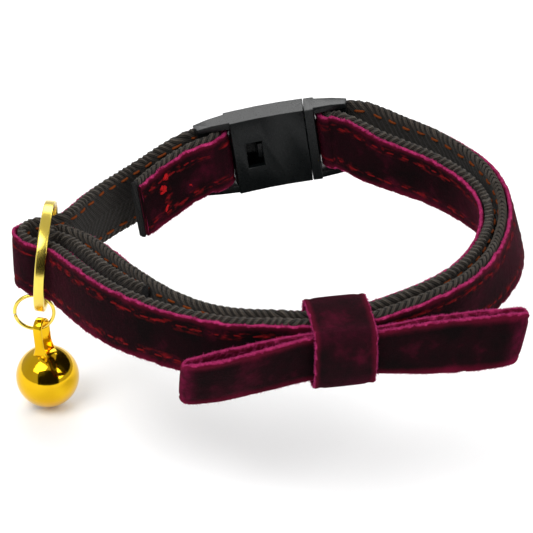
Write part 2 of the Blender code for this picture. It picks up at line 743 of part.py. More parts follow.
def bell_loop():
    """Strip bent to a loop on top of the bell, with spread feet, in the bell's own frame."""
    half_inside = BELL_LOOP_INSIDE / 2
    middle = half_inside + BELL_LOOP_THICK / 2
    top = BELL_DIAMETER / 2 + BELL_LOOP_HEIGHT - BELL_LOOP_THICK / 2
    foot = BELL_DIAMETER / 2 - 1.8 * BELL_WALL
    legs = [(foot, BELL_LOOP_FOOT / BELL_LOOP_WIDTH), (foot + 0.16 * BELL_LOOP_HEIGHT, 1.35),
            (foot + 0.36 * BELL_LOOP_HEIGHT, 1.0), (top - middle, 1.0)]
    stations = [(Vector((0.0, -middle, height)), Vector((0.0, -1.0, 0.0)), wide)
                for height, wide in legs]
    for step in range(1, 8):
        angle = math.pi * step / 8
        direction = Vector((0.0, -math.cos(angle), math.sin(angle)))
        centre = Vector((0.0, 0.0, top - middle))
        stations.append((centre + direction * middle, direction, 1.0))
    stations.extend((Vector((0.0, middle, height)), Vector((0.0, 1.0, 0.0)), wide)
                    for height, wide in reversed(legs))
    outline = rounded_rectangle(BELL_LOOP_THICK, BELL_LOOP_WIDTH, BELL_LOOP_THICK * 0.3)
    sections = [[point + outward * a + Vector((b * wide, 0.0, 0.0)) for a, b in outline]
                for point, outward, wide in stations]
    return sweep(sections)


def slot_body():
    """Thin upright slab below the bell's middle, which cuts the slot between the two holes."""
    body = bmesh.new()
    bmesh.ops.create_cube(body, size=1.0)
    reach = math.sin(math.radians(BELL_HOLE_ANGLE)) * BELL_DIAMETER / 2
    depth = BELL_DIAMETER / 2
    low = -math.cos(math.radians(BELL_HOLE_ANGLE)) * BELL_DIAMETER / 2
    bmesh.ops.scale(body, verts=body.verts, vec=(2 * reach, BELL_SLOT, depth))
    bmesh.ops.translate(body, verts=body.verts, vec=(0.0, 0.0, low - depth / 2))
    return body


def hole_body(side):
    """Round rod along the radius of one hole at the slot's end."""
    body = bmesh.new()
    bmesh.ops.create_cone(body, cap_ends=True, segments=14, radius1=BELL_HOLE / 2,
                          radius2=BELL_HOLE / 2, depth=BELL_DIAMETER / 2)
    bmesh.ops.translate(body, verts=body.verts, vec=(0.0, 0.0, -BELL_DIAMETER / 2))
    turn = Matrix.Rotation(math.radians(-side * BELL_HOLE_ANGLE), 3, "Y")
    bmesh.ops.rotate(body, verts=body.verts, cent=(0.0, 0.0, 0.0), matrix=turn)
    return body


def bell_placement():
    """Matrix from the bell's own frame, centred in its ball, to the world."""
    _, _, _, pivot = pendant_places()
    slope = BELL_LOOP_WIDTH / 2 * math.tan(math.radians(BELL_SIDE) + BELL_LOOP_WIDTH / JUMP_DIAMETER)
    hang = (BELL_DIAMETER / 2 + BELL_LOOP_HEIGHT - BELL_LOOP_THICK - FIT_GAP - JUMP_WIRE / 2
            - slope)
    tilt = Matrix.Rotation(math.radians(-BELL_TILT), 4, "Y")
    turn = Matrix.Rotation(math.radians(-BELL_TURN), 4, "Z")
    return Matrix.Translation(pivot) @ tilt @ Matrix.Translation((0.0, 0.0, -hang)) @ turn


def build_bell(material, pellet_material):
    """Hollow ball with a loop, a slot that ends in two round holes, and a loose pellet."""
    _, _, _, pivot = pendant_places()
    place = bell_placement()
    shell = ball(BELL_DIAMETER / 2, 28, 16, (0.0, 0.0, 0.0))
    bmesh.ops.transform(shell, matrix=place, verts=shell.verts)
    bell = add_object("bell", shell, material, location=pivot)
    slot_turn = place @ Matrix.Rotation(math.radians(BELL_TURN + BELL_SLOT_TURN), 4, "Z")
    inside = BELL_DIAMETER / 2 - BELL_WALL
    add_boolean(bell, cutter("bell_loop_tool", bell_loop(), place), "UNION")
    hollow = ball(inside, 28, 16, (0.0, 0.0, 0.0))
    add_boolean(bell, cutter("bell_hollow_tool", hollow, place), "DIFFERENCE")
    add_boolean(bell, cutter("bell_slot_tool", slot_body(), slot_turn), "DIFFERENCE")
    for side in (-1, 1):
        tool = cutter("bell_hole_tool_%d" % side, hole_body(side), slot_turn)
        add_boolean(bell, tool, "DIFFERENCE")
    rest = Vector((0.0, 0.0, -(inside - FIT_GAP - PELLET_DIAMETER / 2)))
    pellet = ball(PELLET_DIAMETER / 2, 12, 8, rest)
    bmesh.ops.transform(pellet, matrix=place, verts=pellet.verts)
    add_object("bell_pellet", pellet, pellet_material, location=pivot)


def clear_scene():
    for thing in list(bpy.data.objects):
        bpy.data.objects.remove(thing, do_unlink=True)


def main():
    clear_scene()
    webbing = make_material("webbing", (0.045, 0.040, 0.034), 0.85)
    velvet = make_material("velvet", (0.095, 0.006, 0.026), 0.95)
    bow_velvet = make_material("bow_velvet", (0.095, 0.006, 0.026), 0.95)
    plastic = make_material("black_plastic", (0.012, 0.013, 0.014), 0.38)
    pale_gold = make_material("ring_gold", (0.90, 0.72, 0.26), 0.22, 1.0)
    gold = make_material("bell_gold", (0.95, 0.62, 0.04), 0.15, 1.0)
    steel = make_material("pellet_steel", (0.55, 0.55, 0.55), 0.35, 1.0)
    buckle = BuckleFrame()
    outer = outer_layer(buckle)
    build_strap(strap_path(outer, buckle), webbing, velvet)
    build_buckle(buckle, plastic)
    build_bow(outer, bow_velvet)
    build_knot(outer, bow_velvet)
    build_gold_ring(pale_gold)
    build_jump_ring(pale_gold)
    build_bell(gold, steel)


main()
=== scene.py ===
import random
from math import asin, copysign, cos, dist, exp, pi, radians, sin, tan

import bmesh
import bpy
import numpy as np
from mathutils import Matrix, Vector, noise


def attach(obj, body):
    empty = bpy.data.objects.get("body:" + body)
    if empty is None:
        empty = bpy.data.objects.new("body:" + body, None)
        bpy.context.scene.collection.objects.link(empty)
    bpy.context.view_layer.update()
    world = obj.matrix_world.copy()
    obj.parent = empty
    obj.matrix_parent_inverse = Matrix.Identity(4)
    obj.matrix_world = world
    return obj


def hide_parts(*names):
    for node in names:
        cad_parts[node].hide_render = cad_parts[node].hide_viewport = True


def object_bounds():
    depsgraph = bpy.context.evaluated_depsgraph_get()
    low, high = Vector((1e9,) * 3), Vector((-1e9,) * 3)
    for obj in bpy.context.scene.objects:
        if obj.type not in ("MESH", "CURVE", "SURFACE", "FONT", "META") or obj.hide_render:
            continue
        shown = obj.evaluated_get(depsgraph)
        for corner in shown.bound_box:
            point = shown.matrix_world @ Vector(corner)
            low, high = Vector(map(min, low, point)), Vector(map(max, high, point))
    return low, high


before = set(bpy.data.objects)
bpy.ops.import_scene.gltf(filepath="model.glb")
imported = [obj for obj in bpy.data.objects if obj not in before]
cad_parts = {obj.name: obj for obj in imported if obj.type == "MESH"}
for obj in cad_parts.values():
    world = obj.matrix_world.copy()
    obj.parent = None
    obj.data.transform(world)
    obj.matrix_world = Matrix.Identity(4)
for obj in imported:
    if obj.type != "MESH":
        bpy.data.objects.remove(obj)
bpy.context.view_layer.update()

# Sizes of the part in metres, the same as in its source
LOOP_WIDTH = 0.0880
LOOP_DEPTH = 0.0727
WEBBING_WIDTH = 0.0115
WEBBING_THICK = 0.0015
RIBBON_WIDTH = 0.0105
RIBBON_THICK = 0.0008
FIT_GAP = 0.0003
STRAP_STEP = 0.0030
BAR_TAIL = 2.75
TAB_LENGTH = 0.0230
TAB_FLARE = 0.0016
TURNED_END_LENGTH = 0.0285
BUCKLE_LENGTH = 0.0285
BUCKLE_BEND_RADIUS = 0.060
BUCKLE_ACROSS = 0.050
BUCKLE_DEEP = 0.865
BUCKLE_LIFT = 0.157
BUCKLE_YAW = 7.5
BUCKLE_ROLL = 7.5
BUCKLE_LEAN = 4.0
BAR_THICK = 0.0018
BAR_CORNER_ROOM = 0.00025
BAR_WIDTH = 0.0026
BAR_OUTSET = 0.0006
BOW_THICK = 0.0010
BOW_LEFT = 0.0276
BOW_RIGHT = 0.0305
KNOT_WIDTH = 0.0105
KNOT_THICK = 0.0009
KNOT_CORNER = 0.0015
KNOT_FRONT_DROP = 0.00045
KNOT_SLACK = 0.0005
KNOT_BACK_SLACK = 0.0010
KNOT_PINCH = 0.14
RING_DIAMETER = 0.0200
RING_BAND = 0.0019
RING_WALL = 0.0008
RING_ACROSS = -0.883
RING_DEEP = -0.0060
RING_LIFT = -0.300
RING_TURN = 3.0
RING_TILT = 5.0
PENDANT_FORWARD = 12.0
JUMP_DIAMETER = 0.0078
JUMP_WIRE = 0.00075
JUMP_CUT = 0.0004
JUMP_SIDE = -0.00145
JUMP_DROP = -0.00130
BELL_DIAMETER = 0.0116
BELL_WALL = 0.00045
BELL_SLOT = 0.0011
BELL_HOLE = 0.0024
BELL_HOLE_ANGLE = 52.0
BELL_LOOP_HEIGHT = 0.0066
BELL_LOOP_WIDTH = 0.0017
BELL_LOOP_FOOT = 0.0032
BELL_LOOP_THICK = 0.0007
BELL_LOOP_INSIDE = 0.0023
BELL_SIDE = 18.0
BELL_TILT = 4.0
BELL_TURN = 22.0
BELL_SLOT_TURN = 27.0

# Stations of the strap's outer layer, the same as in the part's source
STATIONS = [
    # name, across, deep, lift, lean, tail
    ("back_left_1", -0.459, 0.722, -0.262, 7.3, 0.0),
    ("back_left_2", -0.566, 0.612, -0.352, 7.0, 0.0),
    ("back_left_3", -0.662, 0.488, -0.391, 6.2, 0.0),
    ("back_left_4", -0.732, 0.350, -0.383, 5.0, 0.0),
    ("ring_side", -0.778, 0.222, -0.350, 3.0, 0.0),
    ("ring_back", -0.826, 0.134, -0.320, 1.0, 0.0),
    ("ear_back", -0.892, 0.106, -0.310, 0.0, 0.0),
    ("ear_top", -0.952, 0.085, -0.305, 0.0, 0.0),
    ("ear_tip", -0.984, 0.008, -0.300, 0.0, 0.0),
    ("ear_front", -0.959, -0.064, -0.300, 0.0, 0.0),
    ("ear_in", -0.916, -0.107, -0.300, 0.0, 0.0),
    ("ring_front", -0.875, -0.127, -0.295, -1.0, 2.35),
    ("front_left_1", -0.836, -0.157, -0.280, -1.5, 2.45),
    ("front_left_2", -0.800, -0.240, -0.240, -2.5, 2.62),
    ("front_left_bend", -0.768, -0.310, -0.195, -3.4, 2.65),
    ("front_left_3", -0.709, -0.443, -0.135, -4.5, 2.58),
    ("front_left_4", -0.632, -0.583, -0.087, -5.5, 2.55),
    ("front_left_5", -0.516, -0.737, -0.035, -6.0, 2.30),
    ("front_left_6", -0.418, -0.825, -0.017, -6.0, 1.80),
    ("front_left_7", -0.314, -0.894, -0.009, -5.5, 1.40),
    ("front_1", -0.195, -0.955, 0.0, -4.0, 1.12),
    ("front_2", -0.073, -0.990, 0.017, -2.0, 0.98),
    ("front_3", 0.080, -0.996, 0.058, 1.0, 0.86),
    ("knot", 0.295, -0.964, 0.078, 4.0, 0.80),
    ("front_right_1", 0.477, -0.902, 0.098, 7.0, 0.82),
    ("front_right_2", 0.625, -0.809, 0.139, 6.0, 0.88),
    ("front_right_3", 0.759, -0.669, 0.122, 3.0, 0.96),
    ("front_right_4", 0.845, -0.536, 0.104, -1.0, 0.98),
    ("right_1", 0.918, -0.385, 0.096, -7.0, 0.92),
    ("right_2", 0.975, -0.195, 0.087, -13.0, 0.86),
    ("right_3", 1.000, 0.014, 0.104, -15.0, 0.86),
    ("right_4", 0.984, 0.228, 0.139, -13.5, 1.00),
    ("right_5", 0.916, 0.435, 0.174, -9.0, 1.60),
    ("back_right_1", 0.809, 0.612, 0.209, -7.0, 1.95),
    ("back_right_2", 0.690, 0.745, 0.243, -4.0, 2.45),
    ("back_right_3", 0.560, 0.848, 0.255, -1.5, 2.80),
]

BOW_SECTIONS = [
    # name, side, along, out, open, drop, lean, wide, slant
    ("left_fold", -1, 0.930, 1.30, 0.75, -0.07, 18.0, 0.97, 0.0),
    ("left_full", -1, 0.760, 1.05, 1.10, -0.07, 18.0, 1.00, 0.0),
    ("left_middle", -1, 0.520, 0.62, 0.90, -0.06, 15.0, 0.98, 0.0),
    ("left_knot", -1, 0.220, 0.30, 0.50, -0.02, 4.0, 0.84, 0.0),
    ("middle", 1, 0.000, 0.30, 0.50, -0.02, 4.0, 0.84, 0.0),
    ("right_knot", 1, 0.200, 0.30, 0.50, -0.02, 4.0, 0.84, 0.0),
    ("right_middle", 1, 0.480, 0.28, 0.66, -0.04, 2.0, 0.99, 0.0),
    ("right_full", 1, 0.740, 0.42, 0.72, -0.03, 1.0, 1.02, 4.0),
    ("right_fold", 1, 0.960, 0.50, 0.62, -0.01, 1.0, 0.99, 10.0),
]

STRAP_THICK = WEBBING_THICK + FIT_GAP + RIBBON_THICK
RIBBON_MIDDLE = WEBBING_THICK / 2 + FIT_GAP + RIBBON_THICK / 2
STRAP_OUTER = WEBBING_THICK / 2 + FIT_GAP + RIBBON_THICK
WRAP_RADIUS = BAR_THICK / 2 + BAR_CORNER_ROOM + FIT_GAP + WEBBING_THICK / 2
INNER_OFFSET = STRAP_OUTER + FIT_GAP + WEBBING_THICK / 2
UP = Vector((0.0, 0.0, 1.0))

# Sizes of the detail that only the looks have, in metres
WEBBING_FINE = 0.00015
RIBBON_FINE = 0.00025
BOW_FINE = 0.00022
KNOT_FINE = 0.00020
RIB_PITCH = 0.00135
RIB_DEPTH = 0.00020
RIB_WANDER = 0.00042
WANDER_PITCH = 0.0026
RIB_SWELL_PITCH = 0.0011
UNEVEN_PITCH = 0.0021
UNEVEN_DEPTH = 0.00003
WEBBING_EDGE = 0.00070
STITCH_PITCH = 0.0034
STITCH_LENGTH = 0.0019
STITCH_RADIUS = 0.00024
STITCH_INSET = 0.0016
STITCH_SUNK = 0.00026
VELVET_INSET = 0.0020
RIBBON_PUCKER = 0.00022
BOW_PUCKER = 0.00012
KNOT_PUCKER = 0.00010
SWELL_DEPTH = 0.00006
DRAWN_IN = 0.0007
BAR_PILE = 0.00026
KNOT_TUCK = 0.00030
BOW_CORNER = 0.0010
FUZZ_RADIUS = 0.00005
TACK_LENGTH = 0.0011
TACK_RISE = 0.00022
TACK_RADIUS = 0.00026
BUCKLE_FULLER = 0.00011
BUCKLE_ROUND = 0.00014
WIRE_FINER = 0.00004
LOOP_FINER = 0.00028

# Lean of the webbing's ribs, as a share of the way from the edge
RIB_SLANT = 0.85

# Waves of the ribbon's top edge, low edge and face: the pitch, and what is added to the seed
PUCKERS = [(0.0017, 0.0), (0.0019, 5.3), (0.006, 9.1)]

# Fibres for each metre of edge, and the length of the longest
RIBBON_FUZZ = (16000, 0.00052)
BOW_FUZZ = (26000, 0.00058)
KNOT_FUZZ = (24000, 0.00052)

# Lumps of thread where the tab is sewn down, and the middle of them all in millimetres
TACK_LUMPS = [
    # name, distance along the ribbon, height, count of threads, spread, depth
    ("big", 0.0060, 0.0015, 10, 0.0012, 0.00008),
    ("upper", 0.0076, 0.0033, 4, 0.0006, 0.00015),
    ("lower", 0.0058, -0.0026, 4, 0.0009, 0.00036),
    ("right", 0.0120, -0.0013, 3, 0.0008, 0.00042),
]
TACK_MIDDLE = (6.3, 0.3)

# Strap path, the same as in the part's source


def spline(rows, steps):
    """Catmull-Rom curve through rows; steps gives the pieces in each span."""
    samples = []
    places = []
    last = len(rows) - 1
    for index in range(last):
        before = rows[max(index - 1, 0)]
        start = rows[index]
        end = rows[index + 1]
        after = rows[min(index + 2, last)]
        for step in range(steps[index]):
            t = step / steps[index]
            sample = []
            for a, b, c, d in zip(before, start, end, after):
                bend = (2 * a - 5 * b + 4 * c - d) * t * t + (3 * b - a - 3 * c + d) * t ** 3
                sample.append(b + 0.5 * ((c - a) * t + bend))
            samples.append(sample)
            places.append(index + t)
    samples.append(list(rows[last]))
    places.append(float(last))
    return samples, places


def eased(points, passes):
    for _ in range(passes):
        middle = [(before + here * 2 + after) / 4
                  for before, here, after in zip(points, points[1:], points[2:])]
        points = [points[0]] + middle + [points[-1]]
    return points


def upright_frame(tangent, lean):
    outward = tangent.cross(UP).normalized()
    up = outward.cross(tangent).normalized()
    angle = radians(lean)
    if up.z < 0:
        up.negate()
    tipped_up = up * cos(angle) + outward * sin(angle)
    tipped_out = outward * cos(angle) - up * sin(angle)
    return tipped_out, tipped_up


def half_turn(centre, start, forward, up, radius, pieces=8):
    turn = []
    for step in range(1, pieces):
        angle = pi * step / pieces
        offset = start * cos(angle) + forward * sin(angle)
        turn.append((centre + offset * radius, up))
    return turn


class BuckleFrame:
    """Place of the buckle: run goes left to right, out away from the neck, up along its height."""

    def __init__(self):
        yaw = Matrix.Rotation(radians(BUCKLE_YAW), 3, "Z")
        roll = Matrix.Rotation(radians(-BUCKLE_ROLL), 3, "Y")
        lean = Matrix.Rotation(radians(-BUCKLE_LEAN), 3, "X")
        turn = yaw @ roll @ lean
        self.run = turn @ Vector((1.0, 0.0, 0.0))
        self.out = turn @ Vector((0.0, 1.0, 0.0))
        self.up = turn @ Vector((0.0, 0.0, 1.0))
        self.origin = Vector((BUCKLE_ACROSS * LOOP_WIDTH / 2, BUCKLE_DEEP * LOOP_DEPTH / 2,
                              BUCKLE_LIFT * WEBBING_WIDTH))

    def point(self, x, y, z):
        angle = x / BUCKLE_BEND_RADIUS
        radius = BUCKLE_BEND_RADIUS + y
        along = sin(angle) * radius
        outward = cos(angle) * radius - BUCKLE_BEND_RADIUS
        return self.origin + self.run * along + self.out * outward + self.up * z

    def directions(self, x):
        angle = x / BUCKLE_BEND_RADIUS
        run = self.run * cos(angle) - self.out * sin(angle)
        out = self.out * cos(angle) + self.run * sin(angle)
        return run, out


def bar_turn_x():
    return BUCKLE_LENGTH / 2 - BAR_WIDTH + BAR_THICK / 2


def outer_layer(buckle):
    """Path of the strap's outer layer from the left bar to the right bar, with the tail distance."""
    ends = []
    for side in (-1, 1):
        row_pair = []
        for x, tail in ((bar_turn_x(), 2 * WRAP_RADIUS),
                        (BUCKLE_LENGTH / 2 + WRAP_RADIUS, BAR_TAIL * STRAP_THICK)):
            place = buckle.point(side * x, BAR_OUTSET + WRAP_RADIUS, 0.0)
            row_pair.append([*place, BUCKLE_LEAN, tail])
        ends.append(row_pair)
    rows = list(ends[0])
    for name, across, deep, lift, lean, tail in STATIONS:
        rows.append([across * LOOP_WIDTH / 2, deep * LOOP_DEPTH / 2, lift * WEBBING_WIDTH,
                     lean, tail * STRAP_THICK])
    rows.extend(reversed(ends[1]))
    steps = []
    for one, two in zip(rows, rows[1:]):
        length = (Vector(two[:3]) - Vector(one[:3])).length
        steps.append(max(2, round(length / STRAP_STEP)))
    samples, places = spline(rows, steps)
    points = eased([Vector(sample[:3]) for sample in samples], 2)
    path = []
    last = len(points) - 1
    for index, sample in enumerate(samples):
        tangent = (points[min(index + 1, last)] - points[max(index - 1, 0)]).normalized()
        outward, up = upright_frame(tangent, sample[3])
        path.append((points[index], outward, up, tangent, sample[4], places[index] - 2))
    return path


def station_number(name):
    return [row[0] for row in STATIONS].index(name)


def station(path, name):
    number = station_number(name)
    nearest = min(path, key=lambda sample: abs(sample[5] - number))
    return nearest[:4]


def strap_path(outer, buckle):
    """Whole strap as (point, side, up), where side is the direction that the ribbon faces."""
    lengths = [0.0]
    for one, two in zip(outer, outer[1:]):
        lengths.append(lengths[-1] + (two[0] - one[0]).length)
    tab = []
    for sample, length in zip(outer, lengths):
        if length > TAB_LENGTH:
            break
        offset = 2 * WRAP_RADIUS + TAB_FLARE * (length / TAB_LENGTH) ** 3
        tab.append((sample[0] - sample[1] * offset, sample[2]))
    line = list(reversed(tab))
    for side in (-1, 1):
        x = side * bar_turn_x()
        centre = buckle.point(x, BAR_OUTSET, 0.0)
        run, out = buckle.directions(x)
        line.extend(half_turn(centre, out * side, run * -side, buckle.up, WRAP_RADIUS))
        if side < 0:
            line.extend((sample[0], sample[2]) for sample in outer)
    tail = [sample for sample in outer if sample[5] >= station_number("ring_front")]
    inner = eased([sample[0] - sample[1] * sample[4] for sample in reversed(tail)], 4)
    line.extend(zip(inner, [sample[2] for sample in reversed(tail)]))
    last = tail[0]
    turned_offset = INNER_OFFSET + RIBBON_THICK
    radius = (last[4] - turned_offset) / 2
    centre = last[0] - last[1] * (last[4] + turned_offset) / 2
    line.extend(half_turn(centre, -last[1], -last[3], last[2], radius))
    begin = lengths[outer.index(last)]
    line.extend((sample[0] - sample[1] * turned_offset, sample[2])
                for sample, length in zip(outer, lengths)
                if begin <= length <= begin + TURNED_END_LENGTH)
    knot = station(outer, "knot")[0]
    path = []
    for index, (point, up) in enumerate(line):
        before = line[max(index - 1, 0)][0]
        after = line[min(index + 1, len(line) - 1)][0]
        side = (after - before).cross(up).normalized()
        near = max(0.0, 1 - ((point - knot).length / KNOT_WIDTH) ** 2)
        path.append((point, side, up * (1 - KNOT_PINCH * near)))
    return path


def bow_frame(outer):
    place, outward, _, run = station(outer, "knot")
    level_run = Vector((run.x, run.y, 0.0)).normalized()
    return place, level_run, level_run.cross(UP).normalized(), outward


def bow_rows():
    seat = STRAP_OUTER + FIT_GAP + BOW_THICK / 2
    rows = []
    for name, side, along, middle, gap, drop, lean, wide, slant in BOW_SECTIONS:
        reach = side * (BOW_LEFT if side < 0 else BOW_RIGHT)
        rows.append([along * reach, seat + middle * STRAP_THICK, gap * STRAP_THICK,
                     drop * RIBBON_WIDTH, lean, wide * RIBBON_WIDTH / 2, side * slant])
    return rows


def bow_path(outer):
    """Closed path of the bow's band as (point, side, half width along up)."""
    place, run, out, _ = bow_frame(outer)
    rows = bow_rows()
    samples, _ = spline(rows, [3] * (len(rows) - 1))

    def band_point(sample, side):
        along, middle, gap, lift, lean, half_width, slant = sample
        angle = radians(lean)
        up = UP * cos(angle) + out * sin(angle) + run * tan(radians(slant))
        side_out = out * cos(angle) - UP * sin(angle)
        centre = place + run * along + out * (middle + side * gap / 2) + UP * lift
        return centre, side_out * side, up * half_width

    path = [band_point(sample, 1) for sample in samples]
    for sample, tip, direction in ((samples[-1], BOW_RIGHT, 1), (samples[0], -BOW_LEFT, -1)):
        front, _, up = band_point(sample, 1)
        back, _, _ = band_point(sample, -1)
        centre = (front + back) / 2
        depth = (tip - sample[0]) * direction
        start = (front - back) * direction / 2
        for step in range(1, 6):
            angle = pi * step / 6
            offset = start * cos(angle) + run * direction * depth * sin(angle)
            normal = (start.normalized() * cos(angle)
                      + run * direction * sin(angle)).normalized()
            path.append((centre + offset, normal, up))
        if direction > 0:
            path.extend(band_point(inner, -1) for inner in reversed(samples))
    return path


def knot_path(outer):
    """Closed path of the knot as (point, normal, run)."""
    place, run, out, outward = bow_frame(outer)
    lean = asin(max(-1.0, min(1.0, -outward.z)))
    up = UP * cos(lean) + out * sin(lean)
    outward = out * cos(lean) - UP * sin(lean)
    tail = STATIONS[station_number("knot")][5] * STRAP_THICK
    middle = bow_rows()[4]
    bow_front = middle[1] + middle[2] / 2 + BOW_THICK / 2
    low = -tail - STRAP_OUTER - KNOT_BACK_SLACK - KNOT_THICK / 2
    high = bow_front + FIT_GAP + KNOT_THICK / 2
    half_height = WEBBING_WIDTH / 2 * (1 - KNOT_PINCH * 0.75) + KNOT_SLACK + KNOT_THICK / 2 - KNOT_TUCK
    bow_bottom = middle[3] - middle[5] - KNOT_SLACK - FIT_GAP - KNOT_THICK / 2 + KNOT_TUCK
    corners = [(high, half_height - KNOT_FRONT_DROP, 0), (low, half_height, 90),
               (low, -half_height, 180), (high, bow_bottom, 270)]
    path = []
    for out_at, up_at, first in corners:
        centre_out = out_at - copysign(KNOT_CORNER, out_at - (low + high) / 2)
        centre_up = up_at - copysign(KNOT_CORNER, up_at)
        for step in range(5):
            angle = radians(first + 90 * step / 4)
            normal = outward * cos(angle) + up * sin(angle)
            point = place + outward * centre_out + up * centre_up + normal * KNOT_CORNER
            path.append((point, normal, run))
    return path


# Fine samples and swept meshes


def unit(rows):
    return rows / np.linalg.norm(rows, axis=1)[:, None]


def fine_samples(path, step, closed=False):
    """Even samples along a smooth curve through the path: points, sides, ups and distances."""
    table = np.array([[*point, *side, *up] for point, side, up in path], float)
    if closed:
        table = np.vstack([table[-1:], table, table[:2]])
    gaps = np.linalg.norm(np.diff(table[:, :3], axis=0), axis=1)
    knots = np.concatenate([[0.0], np.cumsum(gaps)])
    slopes = np.diff(table, axis=0) / gaps[:, None]
    inner = slopes[:-1] * gaps[1:, None] + slopes[1:] * gaps[:-1, None]
    inner /= (gaps[:-1] + gaps[1:])[:, None]
    tangents = np.vstack([slopes[:1], inner, slopes[-1:]])
    first, last = (knots[1], knots[-2]) if closed else (0.0, knots[-1])
    where = np.linspace(first, last, round((last - first) / step) + 1)
    spot = np.clip(np.searchsorted(knots, where, side="right") - 1, 0, len(gaps) - 1)
    gap = gaps[spot][:, None]
    t = (where - knots[spot])[:, None] / gap
    rows = ((2 * t ** 3 - 3 * t ** 2 + 1) * table[spot] + (t ** 3 - 2 * t ** 2 + t) * gap * tangents[spot]
            + (3 * t ** 2 - 2 * t ** 3) * table[spot + 1] + (t ** 3 - t ** 2) * gap * tangents[spot + 1])
    return rows[:, 0:3], unit(rows[:, 3:6]), rows[:, 6:9], where - first


def link_mesh(name, mesh, material, sharp=180.0):
    mesh.materials.append(material)
    mesh.shade_smooth()
    if sharp < 180.0:
        mesh.set_sharp_from_angle(angle=radians(sharp))
    thing = bpy.data.objects.new(name, mesh)
    bpy.context.scene.collection.objects.link(thing)
    return thing


def new_piece(name, points, faces, material):
    mesh = bpy.data.meshes.new(name)
    mesh.from_pydata(points, [], faces)
    return link_mesh(name, mesh, material)


def grid_mesh(name, points, along, around, material, closed=False):
    """Mesh of a grid of points whose columns close on themselves, with a UV map in millimetres."""
    count, columns = points.shape[:2]
    spans = count - 1
    if closed:
        points = points[:-1]
        count -= 1
    row = np.arange(spans)[:, None]
    column = np.arange(columns)[None, :]
    next_row = (row + 1) % count
    next_column = (column + 1) % columns
    quads = np.stack([row * columns + column, row * columns + next_column,
                      next_row * columns + next_column, next_row * columns + column], axis=2)
    faces = quads.reshape(-1, 4).tolist()
    u = np.broadcast_to(along[:, None], (spans + 1, columns))
    v = np.asarray(around)
    low = np.broadcast_to(v[:columns][None, :], (spans, columns))
    high = np.broadcast_to(v[1:columns + 1][None, :], (spans, columns))
    corners = [(u[:-1], low), (u[:-1], high), (u[1:], high), (u[1:], low)]
    uv = np.stack([np.stack(corner, 2) for corner in corners], axis=2).reshape(-1, 2) * 1000.0
    if not closed:
        faces.append(list(range(columns))[::-1])
        faces.append([(count - 1) * columns + k for k in range(columns)])
        caps = np.stack([np.tile(v[:columns], 2), np.zeros(2 * columns)], 1)[:, ::-1] * 1000.0
        uv = np.vstack([uv, caps])
    mesh = bpy.data.meshes.new(name)
    mesh.from_pydata(points.reshape(-1, 3).tolist(), [], faces)
    layer = mesh.uv_layers.new(name="UVMap")
    layer.data.foreach_set("uv", uv.astype(np.float32).ravel())
    body = bmesh.new()
    body.from_mesh(mesh)
    bmesh.ops.recalc_face_normals(body, faces=body.faces)
    body.to_mesh(mesh)
    body.free()
    return link_mesh(name, mesh, material)


def wave(along, pitch, seed):
    """Smooth noise between -1 and 1 along a line, one value for each distance."""
    return np.array([noise.noise(Vector((value / pitch, seed, 0.37))) * 1.6 for value in along])


def outline_length(outline):
    lengths = [0.0]
    for one, two in zip(outline, outline[1:] + outline[:1]):
        lengths.append(lengths[-1] + dist(one, two))
    return lengths


# Webbing


def webbing_outline():
    """Rounded outline of the webbing: (depth, height), with more points at its two edges."""
    half = WEBBING_THICK / 2
    flat = WEBBING_WIDTH / 2 - WEBBING_EDGE
    points = []
    for face in (1, -1):
        for step in range(1, 5):
            points.append((face * half, face * flat * (2 * step / 5 - 1)))
        for step in range(8):
            angle = pi * (step + 0.5) / 8
            points.append((face * cos(angle) * half, face * (flat + sin(angle) * WEBBING_EDGE)))
    return points


def edge_places():
    """Distance round the webbing's outline of one edge's middle, and the whole length."""
    around = outline_length(webbing_outline())
    return (around[7] + around[8]) / 2, around[-1]


def build_webbing(path, material):
    """Webbing whose ribs stand out where its two edges are roped, and wander a little."""
    points, sides, ups, along = fine_samples(path, WEBBING_FINE)
    outline = webbing_outline()
    around = outline_length(outline)
    middle, whole = edge_places()
    wandering = along + wave(along, WANDER_PITCH, 8.8) * RIB_WANDER
    swell = wave(along, RIB_SWELL_PITCH, 2.4)
    rope = WEBBING_EDGE * 1.2
    grid = np.zeros((len(points), len(outline), 3))
    for k, (depth, height) in enumerate(outline):
        edge = max(0.0, abs(height) - (WEBBING_WIDTH / 2 - rope)) / rope
        from_edge = abs((around[k] - middle + whole / 4) % (whole / 2) - whole / 4)
        phase = 2 * pi * (wandering + from_edge * RIB_SLANT) / RIB_PITCH
        knob = np.sqrt(np.sin(phase) * 0.5 + 0.5) - 0.8 + 0.20 * np.sin(phase * 3 + 2.0)
        rib = knob * (0.80 + 0.50 * swell) * RIB_DEPTH * 2 * min(1.0, edge * 1.6)
        rib += wave(along, UNEVEN_PITCH, 3.1 + k * 0.07) * UNEVEN_DEPTH
        shift = depth * (1 + rib / (WEBBING_THICK / 2) * 0.8)
        lift = height + copysign(1.0, height) * rib * edge
        grid[:, k] = points + sides * shift[:, None] + ups * lift[:, None]
    return grid_mesh("webbing", grid, wandering, around, material)


# Velvet ribbon, bow and knot


